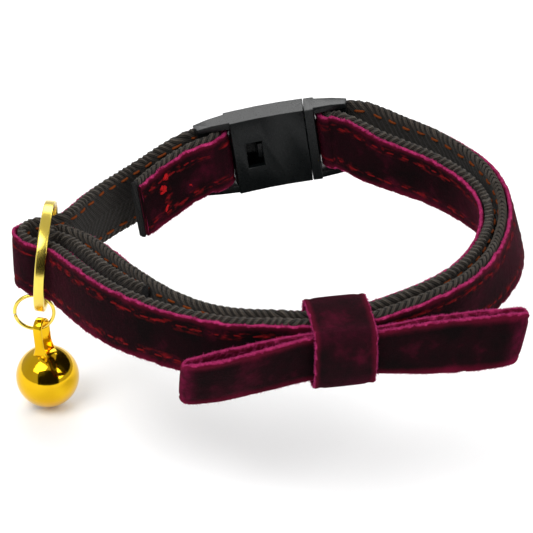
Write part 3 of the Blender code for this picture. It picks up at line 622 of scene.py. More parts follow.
def mark_fold_sheen(thing, samples, columns, low, high, most):
    """Give the folds of a band of pile ribbon, where it bends tightly, a value for the painted sheen that
    the pile shows there.
    """
    sides = samples[1]
    bend = np.linalg.norm(np.roll(sides, -3, axis=0) - np.roll(sides, 3, axis=0), axis=1)
    bend[:3] = 0.0
    bend[-3:] = 0.0
    fold_sheen = np.clip((bend - low) / (high - low), 0.0, 1.0) * most
    for _ in range(2):
        fold_sheen = sum(np.roll(fold_sheen, shift) for shift in range(-4, 5)) / 9
    count = len(thing.data.vertices) // columns
    layer = thing.data.attributes.new("fold_sheen", "FLOAT", "POINT")
    layer.data.foreach_set("value", np.repeat(fold_sheen[:count], columns).astype(np.float32))


def velvet_outline(width, thick, columns=15):
    """Outline of a pile ribbon: a crowned pile face, sunk stitch lines, rolled edges, a flat back."""
    half = width / 2
    roll = thick * 0.52
    points = []
    for step in range(columns):
        height = (half - roll) * (2 * step / (columns - 1) - 1)
        share = abs(height) / half
        sunk = exp(-((share - 0.76) / 0.07) ** 2) * 0.16 * thick
        crown = thick * 0.08 * (1 - share ** 2)
        points.append((thick / 2 - sunk + crown - 0.06 * thick, height))
    angles = [pi * step / 6 for step in range(1, 6)]
    edge = [(cos(angle) * thick / 2, half - roll + sin(angle) * roll) for angle in angles]
    back = [(-thick / 2, (half - roll) * (1 - 2 * step / 3)) for step in range(4)]
    return points + edge + back + [(-depth, -height) for depth, height in edge]


def build_velvet(name, samples, width, thick, shift, material, seed, pucker, closed=False,
                 unit_ups=True, narrower=0.0, fuller=0.0, fold_sheen=(0.050, 0.13, 0.05)):
    """Pile ribbon along the samples, puckered at its edges. Returns it and its two edge lines.

    narrower draws both edges in and fuller lifts the pile face, one value for each sample. The last
    setting gives the bend where the painted sheen at the folds begins, the bend where it is strongest,
    and how strong it is then.
    """
    points, sides, ups, along = samples
    outline = velvet_outline(width, thick)
    half = width / 2
    around = [height if depth > -thick * 0.2 else copysign(half - 0.00018, height)
              for depth, height in outline]
    around.append(around[0])
    fade = np.minimum(1.0, np.minimum(along, along[-1] - along) / 0.006) if closed else 1.0
    top_wave, low_wave, slow = [wave(along, pitch, seed + more) * fade for pitch, more in PUCKERS]
    grid = np.zeros((len(points), len(outline), 3))
    for k, (depth, height) in enumerate(outline):
        share = height / half
        edge = abs(share) ** 5
        ripple = top_wave if height > 0 else low_wave
        swell = slow * SWELL_DEPTH * (1 - share ** 2)
        out = depth + shift - np.abs(ripple) * pucker * edge * 0.6 + swell
        out = out + fuller * (depth > 0)
        lift = height + ripple * pucker * edge * 0.8 - narrower * share
        if not unit_ups:
            lift = lift / half
        grid[:, k] = points + sides * out[:, None] + ups * lift[:, None]
    thing = grid_mesh(name, grid, along, around, material, closed)
    mark_fold_sheen(thing, samples, len(outline), *fold_sheen)
    heights = [height for _, height in outline]
    top = heights.index(max(heights))
    bottom = heights.index(min(heights))
    return thing, [(grid[:, top], sides, ups), (grid[:, bottom], sides, -ups)]


def turned_away(samples):
    """How far the ribbon's edges are drawn in where it faces the back, and more in the turned end."""
    _, sides, _, along = samples
    drawn = DRAWN_IN * np.clip(sides[:, 1] * 1.8 - 0.1, 0.0, 1.0)
    turned = np.clip((along - (along[-1] - TURNED_END_LENGTH - 0.004)) / 0.003, 0.0, 1.0)
    return np.maximum(drawn, turned * DRAWN_IN * 2.4)


def rounded_tips(samples, outer):
    """How far the bow's edges are drawn in at its two folds, so that its corners are round."""
    place, run, _, _ = bow_frame(outer)
    across = (samples[0] - np.array(place)) @ np.array(run)
    share = np.clip(1 - np.minimum(across + BOW_LEFT, BOW_RIGHT - across) / BOW_CORNER, 0.0, 1.0)
    return BOW_CORNER * (1 - np.sqrt(1 - share ** 2))


def at_bars(samples, buckle):
    """Fuller pile where the strap turns round the buckle's bars."""
    fuller = np.zeros(len(samples[0]))
    for side in (-1, 1):
        centre = np.array(buckle.point(side * bar_turn_x(), BAR_OUTSET, 0.0))
        distance = np.linalg.norm(samples[0] - centre, axis=1)
        near = np.clip(1.8 - distance / (WRAP_RADIUS * 1.15), 0.0, 1.0)
        fuller = np.maximum(fuller, near * near * (3 - 2 * near) * BAR_PILE)
    return fuller


def build_fuzz(name, edges, material, seed, per_metre, length):
    """Short loose fibres along edge lines of (points, sides, ups)."""
    dice = np.random.default_rng(seed)
    verts = []
    for points, sides, ups in edges:
        gaps = np.linalg.norm(np.diff(points, axis=0), axis=1)
        count = int(gaps.sum() * per_metre)
        distance = np.concatenate([[0.0], np.cumsum(gaps)])
        where = np.sort(dice.uniform(0.0, gaps.sum(), count))
        index = np.clip(np.searchsorted(distance, where) - 1, 0, len(gaps) - 1)
        share = ((where - distance[index]) / gaps[index])[:, None]
        start = points[index] * (1 - share) + points[index + 1] * share
        run = (points[index + 1] - points[index]) / gaps[index][:, None]
        side = sides[index]
        lean = dice.normal(0.0, 0.75, (count, 2))
        heading = unit(unit(ups[index]) + side * lean[:, :1] + run * lean[:, 1:])
        reach = (length * dice.uniform(0.35, 1.0, count) ** 1.3)[:, None]
        start = start + side * dice.uniform(-0.00025, 0.00025, count)[:, None] - heading * 0.00008
        across = unit(np.cross(heading, run))
        third = np.cross(heading, across)
        base = [start + (across * cos(a) + third * sin(a)) * FUZZ_RADIUS
                for a in (0.0, 2.0944, 4.1888)]
        verts.append(np.stack([*base, start + heading * reach], axis=1).reshape(-1, 3))
    verts = np.vstack(verts)
    first = np.arange(len(verts) // 4)[:, None] * 4
    faces = (first[:, :, None] + np.array([[0, 1, 3], [1, 2, 3], [2, 0, 3]])[None]).reshape(-1, 3)
    return new_piece(name, verts.tolist(), faces.tolist(), material)


# Stitches and the bar tack


def thread_tube(points, normal_hint, radius, sides=6):
    """Closed thread through points, thinner at its two ends: vertices and faces."""
    verts = []
    last = len(points) - 1
    for index, point in enumerate(points):
        tangent = (points[min(index + 1, last)] - points[max(index - 1, 0)]).normalized()
        one = tangent.cross(normal_hint).normalized()
        two = one.cross(tangent).normalized()
        wide = radius * (0.45 if index in (0, last) else 1.0)
        for k in range(sides):
            angle = 2 * pi * k / sides
            verts.append(point + (one * cos(angle) + two * sin(angle)) * wide)
    faces = []
    for index in range(last):
        for k in range(sides):
            a = index * sides + k
            b = index * sides + (k + 1) % sides
            faces.append((a, b, b + sides, a + sides))
    faces.append(tuple(reversed(range(sides))))
    faces.append(tuple(last * sides + k for k in range(sides)))
    return verts, faces


def lay_threads(name, samples, threads, face_at, form, material):
    """Threads (start, length, height, tilt, depth) on the face that stands face_at along side.

    form is the thread's radius, its pieces, its rise, the power of the rise, and how far along the
    thread its side is taken.
    """
    points, sides, ups, along = samples
    radius, pieces, rise, power, side_at = form
    direction = copysign(1.0, face_at)

    def index_at(distance):
        return min(len(points) - 1, max(0, round(distance / (along[1] - along[0]))))

    verts = []
    faces = []
    for start, length, height, tilt, depth in threads:
        line = []
        for piece in range(pieces + 1):
            share = piece / pieces
            index = index_at(start + length * share)
            out = face_at + direction * (sin(pi * share) ** power * rise - depth)
            level = height + tilt * (share - 0.5)
            line.append(Vector(points[index] + sides[index] * out + ups[index] * level))
        more, quads = thread_tube(line, Vector(sides[index_at(start + length * side_at)]), radius)
        faces.extend(tuple(k + len(verts) for k in quad) for quad in quads)
        verts.extend(more)
    return new_piece(name, [tuple(v) for v in verts], faces, material)


def build_stitches(name, samples, height, face_at, material, seed, sunk=0.0):
    """Two rows of stitches, at the height and as far below the middle."""
    dice = random.Random(seed)
    threads = []
    for row in (height, -height):
        where = dice.uniform(0.0012, 0.0020)
        while where + STITCH_LENGTH < samples[3][-1] - 0.001:
            length = STITCH_LENGTH * dice.uniform(0.85, 1.12)
            level = row + dice.uniform(-0.00016, 0.00016)
            tilt = dice.uniform(-0.00022, 0.00022)
            threads.append((where, length, level, tilt, STITCH_RADIUS * 0.7 + sunk))
            where += STITCH_PITCH * dice.uniform(0.93, 1.07)
    form = (STITCH_RADIUS, 6, STITCH_RADIUS * 1.15, 0.5, 0.5)
    return lay_threads(name, samples, threads, face_at, form, material)


def build_bar_tack(name, samples, face_at, material):
    """Lumps of red thread in the pile of the tab, where it is sewn to the strap."""
    dice = random.Random(41)
    middles = [(distance + dice.uniform(-0.4, 0.4) * spread, height + dice.uniform(-0.5, 0.5) * spread,
                sunk)
               for _, distance, height, count, spread, sunk in TACK_LUMPS for _ in range(count)]
    threads = []
    for distance, height, sunk in middles:
        length = TACK_LENGTH * dice.uniform(0.7, 1.2)
        slope = dice.uniform(-0.3, 0.9)
        threads.append((distance - length / 2, length, height, slope * length, sunk))
    return lay_threads(name, samples, threads, face_at, (TACK_RADIUS, 5, TACK_RISE, 1.0, 1.0), material)


# Metal pieces


def round_section(depth, height, corner, pieces=4):
    """Rounded rectangle (depth, height) with corner arcs."""
    points = []
    for sx, sy, first in ((1, 1, 0), (-1, 1, 90), (-1, -1, 180), (1, -1, 270)):
        for step in range(pieces + 1):
            angle = radians(first + 90 * step / pieces)
            points.append((sx * (depth / 2 - corner) + corner * cos(angle),
                           sy * (height / 2 - corner) + corner * sin(angle)))
    return points


def swept_ring(name, centre, one, two, normal, radius, outline, angles, closed, material):
    rows = []
    for angle in angles:
        direction = one * cos(angle) + two * sin(angle)
        point = centre + direction * radius
        rows.append([[*(point + direction * a + normal * b)] for a, b in outline])
    along = np.array(angles) * radius
    return grid_mesh(name, np.array(rows), along - along[0], outline_length(outline), material, closed)


def ring_frame():
    centre = Vector((RING_ACROSS * LOOP_WIDTH / 2, RING_DEEP * LOOP_DEPTH / 2,
                     RING_LIFT * WEBBING_WIDTH))
    turn = radians(RING_TURN)
    level = Vector((sin(turn), cos(turn), 0.0))
    side = level.cross(UP).normalized()
    angle = radians(RING_TILT)
    rise = UP * cos(angle) + side * sin(angle)
    return centre, level, rise, level.cross(rise).normalized()


def build_gold_ring(material):
    centre, level, rise, normal = ring_frame()
    outline = round_section(RING_WALL, RING_BAND, RING_WALL * 0.36)
    middle = (RING_DIAMETER - RING_WALL) / 2
    angles = [2 * pi * step / 144 for step in range(145)]
    return swept_ring("ring", centre, level, rise, normal, middle, outline, angles, True, material)


def pendant_places():
    """Middle and radius of the jump ring, and the point that the bell hangs from."""
    centre, level, rise, _ = ring_frame()
    radius = (JUMP_DIAMETER - JUMP_WIRE) / 2
    forward = radians(PENDANT_FORWARD)
    down = -rise * cos(forward) - level * sin(forward)
    jump_pivot = centre + down * (RING_DIAMETER - RING_WALL) / 2
    jump_centre = jump_pivot + Vector((JUMP_SIDE, 0.0, JUMP_DROP))
    side = radians(BELL_SIDE)
    return jump_centre, radius, jump_centre + Vector((sin(side), 0.0, -cos(side))) * radius


def build_jump_ring(material):
    centre, radius, _ = pendant_places()
    half_cut = JUMP_CUT / 2 / radius
    first = pi + 0.15 + half_cut
    span = 2 * pi - 2 * half_cut
    angles = [first + span * step / 96 for step in range(97)]
    wire_radius = JUMP_WIRE / 2 - WIRE_FINER
    wire = [(cos(pi * k / 8) * wire_radius, sin(pi * k / 8) * wire_radius)
            for k in range(16)]
    right = Vector((1.0, 0.0, 0.0))
    front = Vector((0.0, -1.0, 0.0))
    return swept_ring("jump", centre, right, UP, front, radius, wire, angles, False, material)


def ball_body(radius, segments, rings):
    body = bmesh.new()
    bmesh.ops.create_uvsphere(body, u_segments=segments, v_segments=rings, radius=radius)
    return body


def tool_object(name, body, turn):
    bmesh.ops.recalc_face_normals(body, faces=body.faces)
    mesh = bpy.data.meshes.new(name)
    body.to_mesh(mesh)
    body.free()
    tool = bpy.data.objects.new(name, mesh)
    tool.matrix_world = turn
    bpy.context.scene.collection.objects.link(tool)
    return tool


def bell_loop_body():
    """The loop with its two legs, wider towards the foot, which goes into the bell's wall."""
    middle = BELL_LOOP_INSIDE / 2 + BELL_LOOP_THICK / 2
    top = BELL_DIAMETER / 2 + BELL_LOOP_HEIGHT - BELL_LOOP_THICK / 2
    foot = BELL_DIAMETER / 2 - 1.8 * BELL_WALL
    shares = [(0.0, BELL_LOOP_FOOT / BELL_LOOP_WIDTH), (0.08, 1.62), (0.16, 1.35),
              (0.26, 1.12), (0.36, 1.0)]
    legs = [(foot + share * BELL_LOOP_HEIGHT, wide) for share, wide in shares] + [(top - middle, 1.0)]
    left = Vector((0.0, -1.0, 0.0))
    stations = [(left * middle + UP * height, left, wide) for height, wide in legs]
    for step in range(1, 24):
        angle = pi * step / 24
        direction = Vector((0.0, -cos(angle), sin(angle)))
        stations.append((UP * (top - middle) + direction * middle, direction, 1.0))
    stations.extend((-left * middle + UP * height, -left, wide) for height, wide in reversed(legs))
    outline = [(max(a, LOOP_FINER - BELL_LOOP_THICK / 2), b)
               for a, b in round_section(BELL_LOOP_THICK, BELL_LOOP_WIDTH, BELL_LOOP_THICK * 0.34)]
    body = bmesh.new()
    rings = [[body.verts.new(point + outward * a + Vector((b * wide, 0.0, 0.0))) for a, b in outline]
             for point, outward, wide in stations]
    for one, two in zip(rings, rings[1:]):
        for a, b, c, d in zip(one, one[1:] + one[:1], two[1:] + two[:1], two):
            body.faces.new((a, b, c, d))
    body.faces.new(rings[0])
    body.faces.new(rings[-1])
    return body


def slot_body():
    body = bmesh.new()
    bmesh.ops.create_cube(body, size=1.0)
    reach = sin(radians(BELL_HOLE_ANGLE)) * BELL_DIAMETER / 2
    depth = BELL_DIAMETER / 2
    low = -cos(radians(BELL_HOLE_ANGLE)) * BELL_DIAMETER / 2
    bmesh.ops.scale(body, verts=body.verts, vec=(2 * reach, BELL_SLOT, depth))
    bmesh.ops.translate(body, verts=body.verts, vec=(0.0, 0.0, low - depth / 2))
    return body


def hole_body(side):
    body = bmesh.new()
    bmesh.ops.create_cone(body, cap_ends=True, segments=40, radius1=BELL_HOLE / 2,
                          radius2=BELL_HOLE / 2, depth=BELL_DIAMETER / 2)
    bmesh.ops.translate(body, verts=body.verts, vec=(0.0, 0.0, -BELL_DIAMETER / 2))
    turn = Matrix.Rotation(radians(-side * BELL_HOLE_ANGLE), 3, "Y")
    bmesh.ops.rotate(body, verts=body.verts, cent=(0.0, 0.0, 0.0), matrix=turn)
    return body


def build_bell(material):
    """Hollow bell with its loop, its slot and the round hole at each end of the slot."""
    pivot = pendant_places()[2]
    slope = BELL_LOOP_WIDTH / 2 * tan(radians(BELL_SIDE) + BELL_LOOP_WIDTH / JUMP_DIAMETER)
    hang = (BELL_DIAMETER / 2 + BELL_LOOP_HEIGHT - BELL_LOOP_THICK - FIT_GAP - JUMP_WIRE / 2
            - slope)
    tilt = Matrix.Rotation(radians(-BELL_TILT), 4, "Y")
    turn = Matrix.Rotation(radians(-BELL_TURN), 4, "Z")
    place = Matrix.Translation(pivot) @ tilt @ Matrix.Translation((0.0, 0.0, -hang)) @ turn
    slot_turn = place @ Matrix.Rotation(radians(BELL_TURN + BELL_SLOT_TURN), 4, "Z")
    shell = tool_object("shell", ball_body(BELL_DIAMETER / 2, 96, 64), place)
    steps = [("loop", bell_loop_body(), place, "UNION"),
             ("hollow", ball_body(BELL_DIAMETER / 2 - BELL_WALL, 64, 40), place, "DIFFERENCE"),
             ("slot", slot_body(), slot_turn, "DIFFERENCE"),
             ("left_hole", hole_body(-1), slot_turn, "DIFFERENCE"),
             ("right_hole", hole_body(1), slot_turn, "DIFFERENCE")]
    tools = []
    for name, body, where, operation in steps:
        tools.append(tool_object(name, body, where))
        step = shell.modifiers.new(name, "BOOLEAN")
        step.operation = operation
        step.solver = "EXACT"
        step.object = tools[-1]
    graph = bpy.context.evaluated_depsgraph_get()
    mesh = bpy.data.meshes.new_from_object(shell.evaluated_get(graph))
    mesh.transform(place)
    for tool in (*tools, shell):
        bpy.data.objects.remove(tool)
    mesh.name = "jingle_bell"
    mesh.materials.clear()
    return link_mesh("jingle_bell", mesh, material, sharp=32.0)


def build_buckle_half(name, node, material):
    """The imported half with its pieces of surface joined, a hair fuller, and its edges rounded."""
    body = bmesh.new()
    body.from_mesh(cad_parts[node].data)
    bmesh.ops.remove_doubles(body, verts=body.verts, dist=0.00001)
    bmesh.ops.dissolve_limit(body, angle_limit=radians(2.0), verts=body.verts, edges=body.edges)
    body.normal_update()
    for vert in body.verts:
        vert.co += vert.normal * BUCKLE_FULLER
    mesh = bpy.data.meshes.new(name)
    body.to_mesh(mesh)
    body.free()
    mesh.materials.clear()
    half = link_mesh(name, mesh, material, sharp=40.0)
    edges = half.modifiers.new("edges", "BEVEL")
    edges.width = BUCKLE_ROUND
    edges.segments = 2
    edges.limit_method = "ANGLE"
    edges.angle_limit = radians(25.0)
    edges.harden_normals = False
    return half


# Materials


class Maker:
    """A material with its shader and short ways to add and link nodes."""

    def __init__(self, name):
        self.material = bpy.data.materials.new(name)
        self.material.use_nodes = True
        self.tree = self.material.node_tree
        self.shader = self.tree.nodes["Principled BSDF"]

    def add(self, kind, values=None, **settings):
        made = self.tree.nodes.new(kind)
        for key, value in settings.items():
            setattr(made, key, value)
        for key, value in (values or {}).items():
            self.put(value, made.inputs[key])
        return made

    def put(self, value, socket):
        """Link value to the socket where it is a socket too, and otherwise set it."""
        if isinstance(value, bpy.types.NodeSocket):
            self.tree.links.new(value, socket)
        else:
            socket.default_value = (*value, 1.0) if isinstance(value, tuple) else value

    def math(self, operation, *values):
        made = self.add("ShaderNodeMath", dict(enumerate(values)), operation=operation)
        return made.outputs[0]

    def times(self, one, two):
        return self.math("MULTIPLY", one, two)

    def minus(self, one, two):
        return self.math("SUBTRACT", one, two)

    def line(self, value, slope, shift):
        return self.math("MULTIPLY_ADD", value, slope, shift)

    def limited(self, value):
        return self.math("MINIMUM", self.math("MAXIMUM", value, 0.0), 1.0)

    def spread(self, value, low, high, most=1.0, kind="SMOOTHSTEP"):
        """From 0 where value is low to most where it is high."""
        values = {"From Min": low, "From Max": high, "To Max": most, "Value": value}
        return self.add("ShaderNodeMapRange", values, interpolation_type=kind).outputs["Result"]

    def uv(self):
        """Millimetres along and up the piece, from its UV map."""
        vector = self.add("ShaderNodeUVMap", uv_map="UVMap").outputs["UV"]
        split = self.add("ShaderNodeSeparateXYZ", {0: vector})
        return split.outputs["X"], split.outputs["Y"]

    def noise(self, scale, detail=3.0, roughness=0.6, at=None):
        """Noise over the object's metres, or over the two values in at."""
        if at is None:
            vector = self.add("ShaderNodeTexCoord").outputs["Object"]
        else:
            vector = self.add("ShaderNodeCombineXYZ", {"X": at[0], "Y": at[1]}).outputs["Vector"]
        values = {"Scale": scale, "Detail": detail, "Roughness": roughness, "Vector": vector}
        return self.add("ShaderNodeTexNoise", values).outputs["Fac"]

    def ramp(self, value, stops):
        made = self.add("ShaderNodeValToRGB", {"Fac": value})
        elements = made.color_ramp.elements
        while len(elements) < len(stops):
            elements.new(0.5)
        for element, (place, colour) in zip(elements, stops):
            element.position = place
            element.color = (*colour, 1.0)
        return made.outputs["Color"]

    def mix(self, share, one, two):
        return self.add("ShaderNodeMix", {0: share, 6: one, 7: two}, data_type="RGBA").outputs[2]

    def bump(self, height, strength, distance):
        made = self.add("ShaderNodeBump", {"Strength": strength, "Distance": distance, "Height": height})
        self.put(made.outputs["Normal"], self.shader.inputs["Normal"])

    def finish(self, colour, **values):
        """Give the shader its colour and its other values, and return the material."""
        self.put(colour, self.shader.inputs["Base Color"])
        for key, value in values.items():
            self.put(value, self.shader.inputs[key.replace("_", " ")])
        return self.material


def webbing_material():
    """Brown-grey cloth with ribs on its faces, lighter on the roped edges, dark at the cut end, with
    painted shade in the grooves between the ribs.
    """
    make = Maker("webbing_look")
    along, up = make.uv()
    middle, whole = edge_places()
    from_edge = make.math("PINGPONG", make.minus(up, middle * 1000), whole * 250)
    turns = make.times(make.line(from_edge, RIB_SLANT, along), 2 * pi / (RIB_PITCH * 1000))
    knob = make.line(make.math("SINE", turns), 0.5, 0.5)
    yarn = make.math("SINE", make.line(turns, 3.0, 2.0))
    rib = make.math("MAXIMUM", make.line(yarn, 0.26, make.times(knob, 0.80)), 0.0)
    weft = make.math("SINE", make.times(from_edge, 2 * pi / 0.46))
    rope = make.spread(from_edge, 2.3, 0.9)
    fibre = make.noise(5200.0, 2.0)
    broad = make.noise(260.0)
    # Painted shade: the grooves between the ribs are darkened, darkest between the ribs of the roped
    # edges.
    groove_shade = make.mix(rope, (0.014, 0.0120, 0.0102), (0.0048, 0.0040, 0.0032))
    face = make.ramp(broad, [(0.3, (0.019, 0.0165, 0.014)), (0.7, (0.027, 0.0235, 0.020))])
    ridge = make.ramp(broad, [(0.3, (0.056, 0.046, 0.037)), (0.7, (0.092, 0.076, 0.061))])
    share = make.math("MINIMUM", make.times(rib, make.line(fibre, 1.0, 0.5)), 1.0)
    cloth = make.mix(share, groove_shade, make.mix(rope, face, ridge))
    end = make.spread(along, 0.9, 0.3, kind="LINEAR")
    make.bump(make.line(fibre, 0.70, make.line(weft, 0.14, rib)), 1.0, 0.00020)
    return make.finish(make.mix(end, cloth, (0.0045, 0.004, 0.004)), Roughness=0.88,
                       Sheen_Weight=0.05, Sheen_Roughness=0.5, Specular_IOR_Level=0.2)


def velvet_material(name, half_width, lift=1.0, sewn=1.0, margin=1.3, wine=0.5, selvedge=0.29):
    """Dark wine pile with pink selvedges, red patches along the two stitch lines, and painted sheen where
    the pile folds.
    """
    make = Maker(name)
    along, up = make.uv()
    across = make.math("ABSOLUTE", up)
    half = half_width * 1000
    pile = make.noise(4200.0, 2.0, 0.7)
    tuft = make.noise(900.0, 3.0, 0.65)
    crush = make.noise(150.0, 4.0)
    base = make.ramp(crush, [(0.35, (0.0038 * lift, 0.0020 * lift, 0.0023 * lift)),
                             (0.55, (0.0085 * lift, 0.0018 * lift, 0.0030 * lift)),
                             (0.72, (0.0360 * lift, 0.0024 * lift, 0.0085 * lift))])
    near_edge = make.line(make.minus(crush, 0.5), margin, across)
    base = make.mix(make.spread(near_edge, half - margin, half - 0.1, wine), base, (0.125, 0.0040, 0.021))
    # Painted sheen: where the pile folds tightly it is lightened to a pink wine, streaked along the fold,
    # in place of the glow of the pile seen at a grazing angle.
    fold_sheen = make.add("ShaderNodeAttribute", attribute_name="fold_sheen").outputs["Fac"]
    streak = make.noise(0.75, 2.0, at=(along, make.times(up, 0.16)))
    fold_sheen = make.times(fold_sheen, make.line(tuft, 1.2, -0.1))
    fold_sheen = make.times(fold_sheen, make.line(streak, 2.6, -0.4))
    base = make.mix(make.limited(fold_sheen), base, (0.24, 0.009, 0.058))
    near = make.math("ABSOLUTE", make.minus(across, (half_width - VELVET_INSET) * 1000))
    seam = make.minus(1.3, make.times(near, 1.3))
    spots = make.spread(make.noise(1.0, 2.0, at=(make.times(along, 0.42), up)), 0.47, 0.76, sewn)
    tack_along = make.times(make.minus(along, TACK_MIDDLE[0]), 0.55)
    tack_up = make.times(make.minus(up, TACK_MIDDLE[1]), 0.24)
    tack = make.math("ADD", make.times(tack_along, tack_along), make.times(tack_up, tack_up))
    patch = make.math("MAXIMUM", make.math("MAXIMUM", seam, make.minus(1.0, tack)), 0.0)
    patch = make.times(make.times(patch, spots), make.line(tuft, 1.2, 0.2))
    red = make.mix(make.math("MINIMUM", patch, 0.85), base, (0.20, 0.0055, 0.0085))
    rim = make.line(make.minus(tuft, 0.5), 0.8, make.minus(across, half - selvedge))
    pink = make.ramp(make.line(pile, 0.5, make.times(tuft, 0.5)),
                     [(0.38, (0.17, 0.006, 0.042)), (0.62, (0.50, 0.036, 0.155))])
    make.bump(make.line(tuft, 0.8, pile), 0.75, 0.00022)
    return make.finish(make.mix(make.limited(make.times(rim, 3.2)), red, pink), Roughness=0.95,
                       Sheen_Weight=0.15, Sheen_Roughness=0.28, Sheen_Tint=(0.70, 0.045, 0.16),
                       Specular_IOR_Level=0.04)


def thread_material(name, colour, dark):
    make = Maker(name)
    twist = make.noise(5200.0, 2.0)
    share = make.line(make.noise(420.0, 2.0), 0.6, make.times(twist, 0.5))
    make.bump(twist, 0.6, 0.00008)
    return make.finish(make.mix(share, dark, colour), Roughness=0.85, Specular_IOR_Level=0.05)


def fuzz_material(name, colour):
    make = Maker(name)
    dark = tuple(value * 0.5 for value in colour)
    return make.finish(make.mix(make.noise(700.0, 2.0), dark, colour), Roughness=0.85,
                       Specular_IOR_Level=0.15)


def plastic_material():
    make = Maker("buckle_look")
    grain = make.noise(3800.0)
    broad = make.noise(190.0)
    colour = make.ramp(broad, [(0.3, (0.0020, 0.0030, 0.0032)), (0.75, (0.0038, 0.0048, 0.0048))])
    make.bump(make.line(broad, 0.5, grain), 0.22, 0.00006)
    return make.finish(colour, Roughness=make.line(grain, 0.14, 0.22), Specular_IOR_Level=0.25)


def metal_material(name, colour, deep, roughness, scratch):
    make = Maker(name)
    fine = make.noise(2600.0, 4.0)
    make.bump(fine, 0.10, 0.00004)
    return make.finish(make.mix(make.noise(320.0, 2.0), deep, colour), Metallic=1.0,
                       Roughness=make.line(fine, scratch, roughness))


def floor_material():
    make = Maker("floor_look")
    colour = make.ramp(make.noise(6.0, 2.0), [(0.3, (0.93, 0.93, 0.93)), (0.7, (0.96, 0.96, 0.96))])
    return make.finish(colour, Roughness=0.9, Specular_IOR_Level=0.1)


# Stage


def rectangle(width, height):
    return [(-width / 2, -height / 2, 0), (width / 2, -height / 2, 0), (width / 2, height / 2, 0),
            (-width / 2, height / 2, 0)]


def place_facing(thing, place, target, axis):
    thing.location = place
    thing.rotation_euler = (Vector(target) - Vector(place)).to_track_quat(axis, "Y").to_euler()


def area_light(name, place, size, power):
    light = bpy.data.lights.new(name, "AREA")
    light.shape = "RECTANGLE"
    light.size, light.size_y = size
    light.energy = power
    lamp = bpy.data.objects.new(name, light)
    place_facing(lamp, place, (0.0, 0.0, 0.0), "-Z")
    bpy.context.scene.collection.objects.link(lamp)


def dark_card(name, place, target, size, material):
    """Card that only reflections in the metal and the plastic see."""
    card = new_piece(name, rectangle(*size), [(0, 1, 2, 3)], material)
    place_facing(card, place, target, "Z")
    card.visible_camera = False
    card.visible_diffuse = False
    card.visible_shadow = False


# Build the pieces

velvet_look = velvet_material("velvet_look", RIBBON_WIDTH / 2)
bow_look = velvet_material("bow_velvet_look", RIBBON_WIDTH / 2, 1.0, 0.0, 1.9, 0.55, 0.23)
knot_look = velvet_material("knot_velvet_look", KNOT_WIDTH / 2, 1.4, 0.0, 1.3, 0.50, 0.23)
orange_thread = thread_material("orange_thread", (0.21, 0.048, 0.010), (0.07, 0.015, 0.005))
red_thread = thread_material("red_thread", (0.17, 0.0045, 0.006), (0.04, 0.002, 0.003))
tack_thread = thread_material("tack_thread", (0.46, 0.009, 0.011), (0.20, 0.005, 0.007))
pink_fuzz = fuzz_material("pink_fuzz", (0.50, 0.035, 0.17))
plastic_look = plastic_material()
ring_look = metal_material("ring_look", (0.93, 0.75, 0.14), (0.82, 0.60, 0.09), 0.16, 0.12)
bell_look = metal_material("bell_look", (0.82, 0.52, 0.013), (0.73, 0.40, 0.008), 0.07, 0.07)
steel_look = metal_material("steel_look", (0.62, 0.61, 0.59), (0.45, 0.44, 0.43), 0.25, 0.2)

buckle = BuckleFrame()
outer = outer_layer(buckle)
strap = strap_path(outer, buckle)

webbing = build_webbing(strap, webbing_material())
ribbon_samples = fine_samples(strap, RIBBON_FINE)
ribbon, ribbon_edges = build_velvet("ribbon", ribbon_samples, RIBBON_WIDTH, RIBBON_THICK, RIBBON_MIDDLE,
                                    velvet_look, 1.7, RIBBON_PUCKER, narrower=turned_away(ribbon_samples),
                                    fuller=at_bars(ribbon_samples, buckle))
ribbon_fuzz = build_fuzz("ribbon_fuzz", ribbon_edges, pink_fuzz, 11, *RIBBON_FUZZ)
back_stitches = build_stitches("webbing_stitches", ribbon_samples, WEBBING_WIDTH / 2 - STITCH_INSET,
                               -WEBBING_THICK / 2 - 0.00002, orange_thread, 5)
front_stitches = build_stitches("ribbon_stitches", ribbon_samples, RIBBON_WIDTH / 2 - VELVET_INSET,
                                STRAP_OUTER, red_thread, 6, sunk=STITCH_SUNK)
bar_tack = build_bar_tack("bar_tack", ribbon_samples, STRAP_OUTER, tack_thread)

bow_samples = fine_samples(bow_path(outer), BOW_FINE, closed=True)
# The bow's tight folds get strong painted sheen, the knot's folds a little.
bow, bow_edges = build_velvet("bow", bow_samples, RIBBON_WIDTH, BOW_THICK, 0.0, bow_look, 7.9, BOW_PUCKER,
                              closed=True, unit_ups=False, fold_sheen=(0.12, 1.0, 0.62),
                              narrower=rounded_tips(bow_samples, outer))
bow_fuzz = build_fuzz("bow_fuzz", bow_edges, pink_fuzz, 12, *BOW_FUZZ)
knot_samples = fine_samples(knot_path(outer), KNOT_FINE, closed=True)
knot, knot_edges = build_velvet("knot", knot_samples, KNOT_WIDTH, KNOT_THICK, 0.0, knot_look, 4.4,
                                KNOT_PUCKER, closed=True, fold_sheen=(0.12, 1.0, 0.2))
knot_fuzz = build_fuzz("knot_fuzz", knot_edges, pink_fuzz, 13, *KNOT_FUZZ)

ring = build_gold_ring(ring_look)
jump = build_jump_ring(ring_look)
bell = build_bell(bell_look)
socket = build_buckle_half("socket_half", "buckle_socket", plastic_look)
plug = build_buckle_half("plug_half", "buckle_plug", plastic_look)
for material_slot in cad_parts["bell_pellet"].material_slots:
    material_slot.material = steel_look

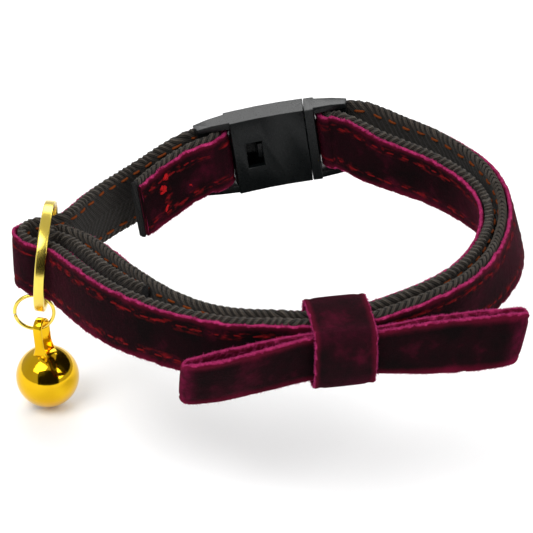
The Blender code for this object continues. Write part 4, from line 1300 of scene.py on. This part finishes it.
pieces = [
    # piece, the node it replaces, its body, its slot
    (webbing, "webbing_strap", "collar", "webbing"),
    (ribbon, "velvet_ribbon", "collar", "velvet"),
    (bow, "bow_loops", "collar", "bow_velvet"),
    (knot, "bow_knot", "collar", "bow_velvet"),
    (ring, "gold_ring", "collar", "ring_gold"),
    (jump, "jump_ring", "link", "ring_gold"),
    (bell, "bell", "jingle", "bell_gold"),
    (socket, "buckle_socket", "collar", "black_plastic"),
    (plug, "buckle_plug", "collar", "black_plastic"),
]
for piece, node, body, slot in pieces:
    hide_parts(node)
    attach(piece, body)
for piece in (ribbon_fuzz, back_stitches, front_stitches, bar_tack, bow_fuzz, knot_fuzz):
    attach(piece, "collar")

# Floor, lights, cards and camera

floor = new_piece("floor", rectangle(6, 6), [(0, 1, 2, 3)], floor_material())
floor.location = (0.0, 0.0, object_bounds()[0].z - 0.0004)

area_light("key", (-0.28, -0.30, 0.52), (0.45, 0.45), 3.0)
area_light("fill", (0.45, -0.25, 0.34), (0.35, 0.5), 1.5)
area_light("back", (0.05, 0.55, 0.38), (0.8, 0.3), 2.6)

card_look = Maker("card_look").finish((0.01, 0.009, 0.008), Roughness=1.0, Specular_IOR_Level=0.0)
near_bell = Vector((-0.0393, -0.0022, -0.0280))
under_buckle = Vector((0.0, 0.015, -0.012))
cards = [
    # name, place, what it faces, size
    ("front_card", near_bell + Vector((0.020, -0.16, 0.050)), near_bell, (0.26, 0.24)),
    ("side_card", near_bell + Vector((0.14, -0.03, 0.10)), near_bell, (0.06, 0.14)),
    ("under_card", under_buckle, under_buckle + Vector((0.0, 0.0, 0.112)), (0.064, 0.042)),
]
for name, place, target, size in cards:
    dark_card(name, place, target, size, card_look)

world = bpy.data.worlds.new("studio")
world.use_nodes = True
background = world.node_tree.nodes["Background"]
background.inputs["Color"].default_value = (1.0, 1.0, 1.0, 1.0)
background.inputs["Strength"].default_value = 0.55
bpy.context.scene.world = world
bpy.context.scene.view_settings.view_transform = "Standard"

camera_data = bpy.data.cameras.new("camera")
camera_data.lens = 185.0
camera_data.sensor_width = 36.0
camera_data.clip_start = 0.02
camera_data.clip_end = 20.0
camera = bpy.data.objects.new("camera", camera_data)
place_facing(camera, (0.0007, -0.4195, 0.2513), (0.0007, -0.0095, 0.0), "-Z")
bpy.context.scene.collection.objects.link(camera)
bpy.context.scene.camera = camera
